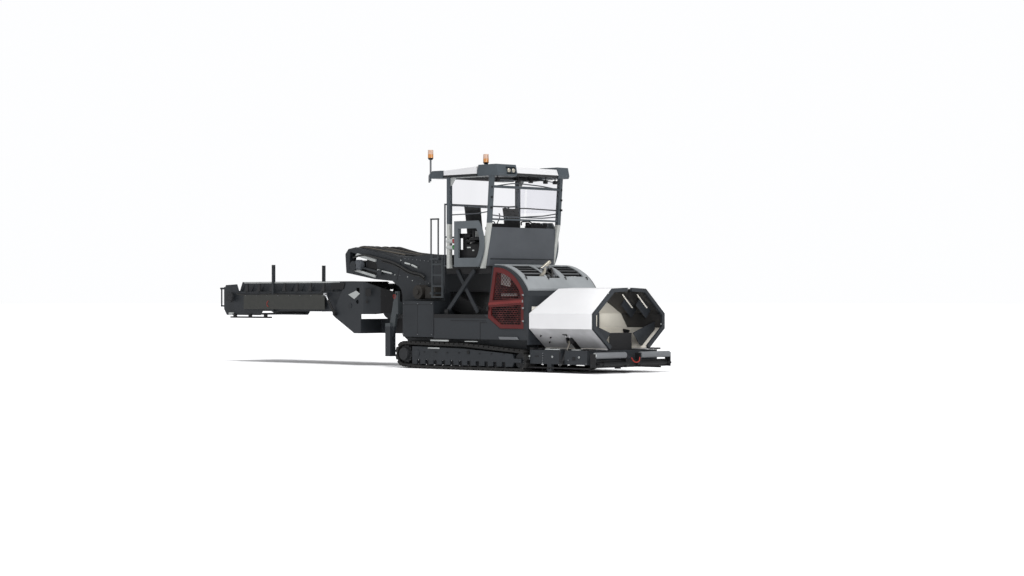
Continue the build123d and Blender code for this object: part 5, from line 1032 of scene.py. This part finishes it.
def trim_swing_frame(side, sign):
    """A pale pad, black marks of painted shade for a hole and a slot, and dark bolts, on one side of the
    swing frame.
    """
    out = sign * SWING_SIDE
    shape = bmesh.new()
    add_side_plate(shape, SWING_PAD, out, out + sign * SWING_PAD_DEPTH)
    finish_piece(f"swing_pad_{side}", shape, pale_grey, "swing_arm")
    shape = bmesh.new()
    add_block_about(shape, (-1.07, -0.86), out, SLOT_HALF, (1.74, 1.93), 0)
    add_side_rod(shape, SWING_PAINTED_HOLE_SHADE, out, out + sign * HOLE_DEPTH, 0.04, 20)
    add_bolts(shape, on_side(SWING_BOLTS, out), (0, sign, 0))
    finish_piece(f"swing_shade_and_bolts_{side}", shape, black_paint, "swing_arm")


# Tail conveyor
RIB_PLACES, RIB_DEPTH = (-5.85, -5.33, -4.80, -4.28, -3.77, -3.23, -2.70), 0.045
SIDE_FLAP_IN, SIDE_FLAP_OUT = 0.88, 0.898
SIDE_FLAP = ((-5.95, 1.40), (-2.62, 1.40), (-2.62, 1.78), (-5.95, 1.78))
SIDE_FLAP_BOLTS = [(x, 1.755) for x in (-5.85, -5.4, -4.95, -4.5, -4.05, -3.6, -3.15, -2.7)]
TOP_EDGE_OUT, TAIL_RECESS_OUT, TAIL_RING_OUT = 0.845, 0.893, 0.90
TAIL_TOP_EDGE = ((-6.0, 2.08), (-2.10, 2.08), (-2.10, 2.11), (-6.0, 2.11))
# A black plate where the tail has a recess: painted shade
TAIL_PAINTED_RECESS_SHADE = ((-2.42, 1.90), (-1.90, 1.92), (-1.84, 2.07), (-2.36, 2.07))
TAIL_DRUM_AXIS, COVER_IN, COVER_OUT, COVER_BOLT_RADIUS = (-6.511, 1.703), 0.89, 0.945, 0.085
TAIL_RING = ((-4.90, 1.62), (-4.96, 1.58), (-4.96, 1.50), (-4.90, 1.46))
TAIL_HOSE = (
    (-6.3, 0.86, 1.80), (-5.6, 0.87, 1.74), (-4.9, 0.87, 1.80), (-3.6, 0.87, 1.76), (-2.6, 0.86, 1.80),
)


def trim_tail(side, sign):
    """Ribs, side flap, edges, a black plate of painted shade for a recess, drum cover, ring and hose on one
    side of the tail.
    """
    out = sign * TAIL_SIDE
    shape = bmesh.new()
    for x in RIB_PLACES:
        rib = ((x - 0.12, 1.87), (x + 0.03, 1.87), (x + 0.03, 2.075), (x, 2.075))
        add_side_plate(shape, rib, out, out + sign * RIB_DEPTH)
    finish_piece(f"skirt_ribs_{side}", shape, cast_dark, "tail_conveyor")
    shape = bmesh.new()
    add_side_plate(shape, SIDE_FLAP, sign * SIDE_FLAP_IN, sign * SIDE_FLAP_OUT)
    finish_piece(f"side_flap_{side}", shape, flap_rubber, "tail_conveyor")
    shape = bmesh.new()
    add_bolts(shape, on_side(SIDE_FLAP_BOLTS, sign * SIDE_FLAP_OUT), (0, sign, 0), 0.012)
    finish_piece(f"flap_bolts_{side}", shape, roller_grey, "tail_conveyor")
    shape = bmesh.new()
    add_side_block(shape, sign, (-6.62, -6.46), (0.80, 0.885), (1.245, 1.31), 0.01)
    add_side_plate(shape, TAIL_TOP_EDGE, out, sign * TOP_EDGE_OUT)
    finish_piece(f"tail_edges_{side}", shape, pale_grey, "tail_conveyor")
    # Painted shade in the recess, as a black plate
    shape = bmesh.new()
    add_side_plate(shape, TAIL_PAINTED_RECESS_SHADE, out, sign * TAIL_RECESS_OUT, 0)
    finish_piece(f"tail_painted_shade_{side}", shape, black_paint, "tail_conveyor")
    shape = bmesh.new()
    cover_bolts = bolt_circle(TAIL_DRUM_AXIS, sign * COVER_OUT, COVER_BOLT_RADIUS, 6)
    add_side_rod(shape, TAIL_DRUM_AXIS, sign * COVER_IN, sign * COVER_OUT, 0.12, 28)
    add_bolts(shape, cover_bolts, (0, sign, 0), 0.012, 0.01)
    finish_piece(f"tail_covers_{side}", shape, cast_dark, "tail_conveyor")
    shape = bmesh.new()
    add_tube(shape, on_side(TAIL_RING, sign * TAIL_RING_OUT), 0.009, 0.03)
    finish_piece(f"tail_ring_{side}", shape, ring_red, "tail_conveyor")
    shape = bmesh.new()
    add_tube(shape, [(x, sign * y, z) for x, y, z in TAIL_HOSE], 0.018, 0.3)
    finish_piece(f"tail_hoses_{side}", shape, hose_rubber, "tail_conveyor")


for side, sign in SIDES:
    trim_swing_frame(side, sign)
    trim_tail(side, sign)

# Floor
floor_finish, _, floor_shader, _ = new_finish("pale_floor")
floor_shader.inputs["Base Color"].default_value = (0.95, 0.95, 0.96, 1)
floor_shader.inputs["Roughness"].default_value = 0.95
floor_shader.inputs["Specular IOR Level"].default_value = 0.0
shape = bmesh.new()
bmesh.ops.create_grid(shape, x_segments=1, y_segments=1, size=400)
floor_mesh = bpy.data.meshes.new("floor")
shape.to_mesh(floor_mesh)
shape.free()
floor = bpy.data.objects.new("floor", floor_mesh)
floor.data.materials.append(floor_finish)
bpy.context.scene.collection.objects.link(floor)

# Sky: bright where it is seen, softer as a light
SKY_LIGHT, SKY_SEEN = 0.55, 1.0
world = bpy.data.worlds.new("studio")
bpy.context.scene.world = world
world.use_nodes = True
sky_nodes, sky_links = world.node_tree.nodes, world.node_tree.links
background = sky_nodes["Background"]
background.inputs["Color"].default_value = (0.988, 0.992, 1, 1)
sight = sky_nodes.new("ShaderNodeLightPath")
strength = sky_nodes.new("ShaderNodeMapRange")
strength.inputs["To Min"].default_value = SKY_LIGHT
strength.inputs["To Max"].default_value = SKY_SEEN
sky_links.new(sight.outputs["Is Camera Ray"], strength.inputs["Value"])
sky_links.new(strength.outputs["Result"], background.inputs["Strength"])


# Lights
def add_light(name, kind, energy):
    """A light and the object that holds it."""
    light = bpy.data.lights.new(name, kind)
    light.energy = energy
    holder = bpy.data.objects.new(name, light)
    bpy.context.scene.collection.objects.link(holder)
    return light, holder


def aim(holder, place, target):
    """Put a light at a place and turn it to a target."""
    holder.location = place
    holder.rotation_euler = (Vector(target) - holder.location).to_track_quat("-Z", "Y").to_euler()


sun, sun_holder = add_light("overhead_light", "SUN", 2.4)
sun.angle = math.radians(24)
sun_holder.rotation_euler = (math.radians(13), math.radians(14), 0)

front_light, front_holder = add_light("front_light", "AREA", 700)
front_light.shape = "DISK"
front_light.size = 6
aim(front_holder, (17, -7, 3.6), (5.4, 0, 1.2))

hopper_light, hopper_holder = add_light("hopper_light", "SPOT", 9000)
hopper_light.spot_size = math.radians(5.5)
hopper_light.spot_blend = 1.0
hopper_light.shadow_soft_size = 0.4
aim(hopper_holder, (16, -8.5, 1.9), (5.4, 1.0, 1.4))

# Camera: its focal length and the horizon's shift are worked out in pixels of the picture's width
EYE = Vector((39.465, -36.233, 1.72))
PICTURE_WIDTH, FOCAL_PIXELS, HORIZON_PIXELS, SENSOR_WIDTH = 1024, 2150, 9, 36
camera = bpy.data.cameras.new("photo_view")
camera.lens = FOCAL_PIXELS / PICTURE_WIDTH * SENSOR_WIDTH
camera.sensor_width = SENSOR_WIDTH
camera.shift_y = HORIZON_PIXELS / PICTURE_WIDTH
camera.clip_end = 900
viewer = bpy.data.objects.new("photo_view", camera)
viewer.location = EYE
viewer.rotation_euler = (math.radians(90), 0, math.radians(45))
bpy.context.scene.collection.objects.link(viewer)
bpy.context.scene.camera = viewer
bpy.context.scene.view_settings.view_transform = "Standard"

bpy.context.view_layer.update()
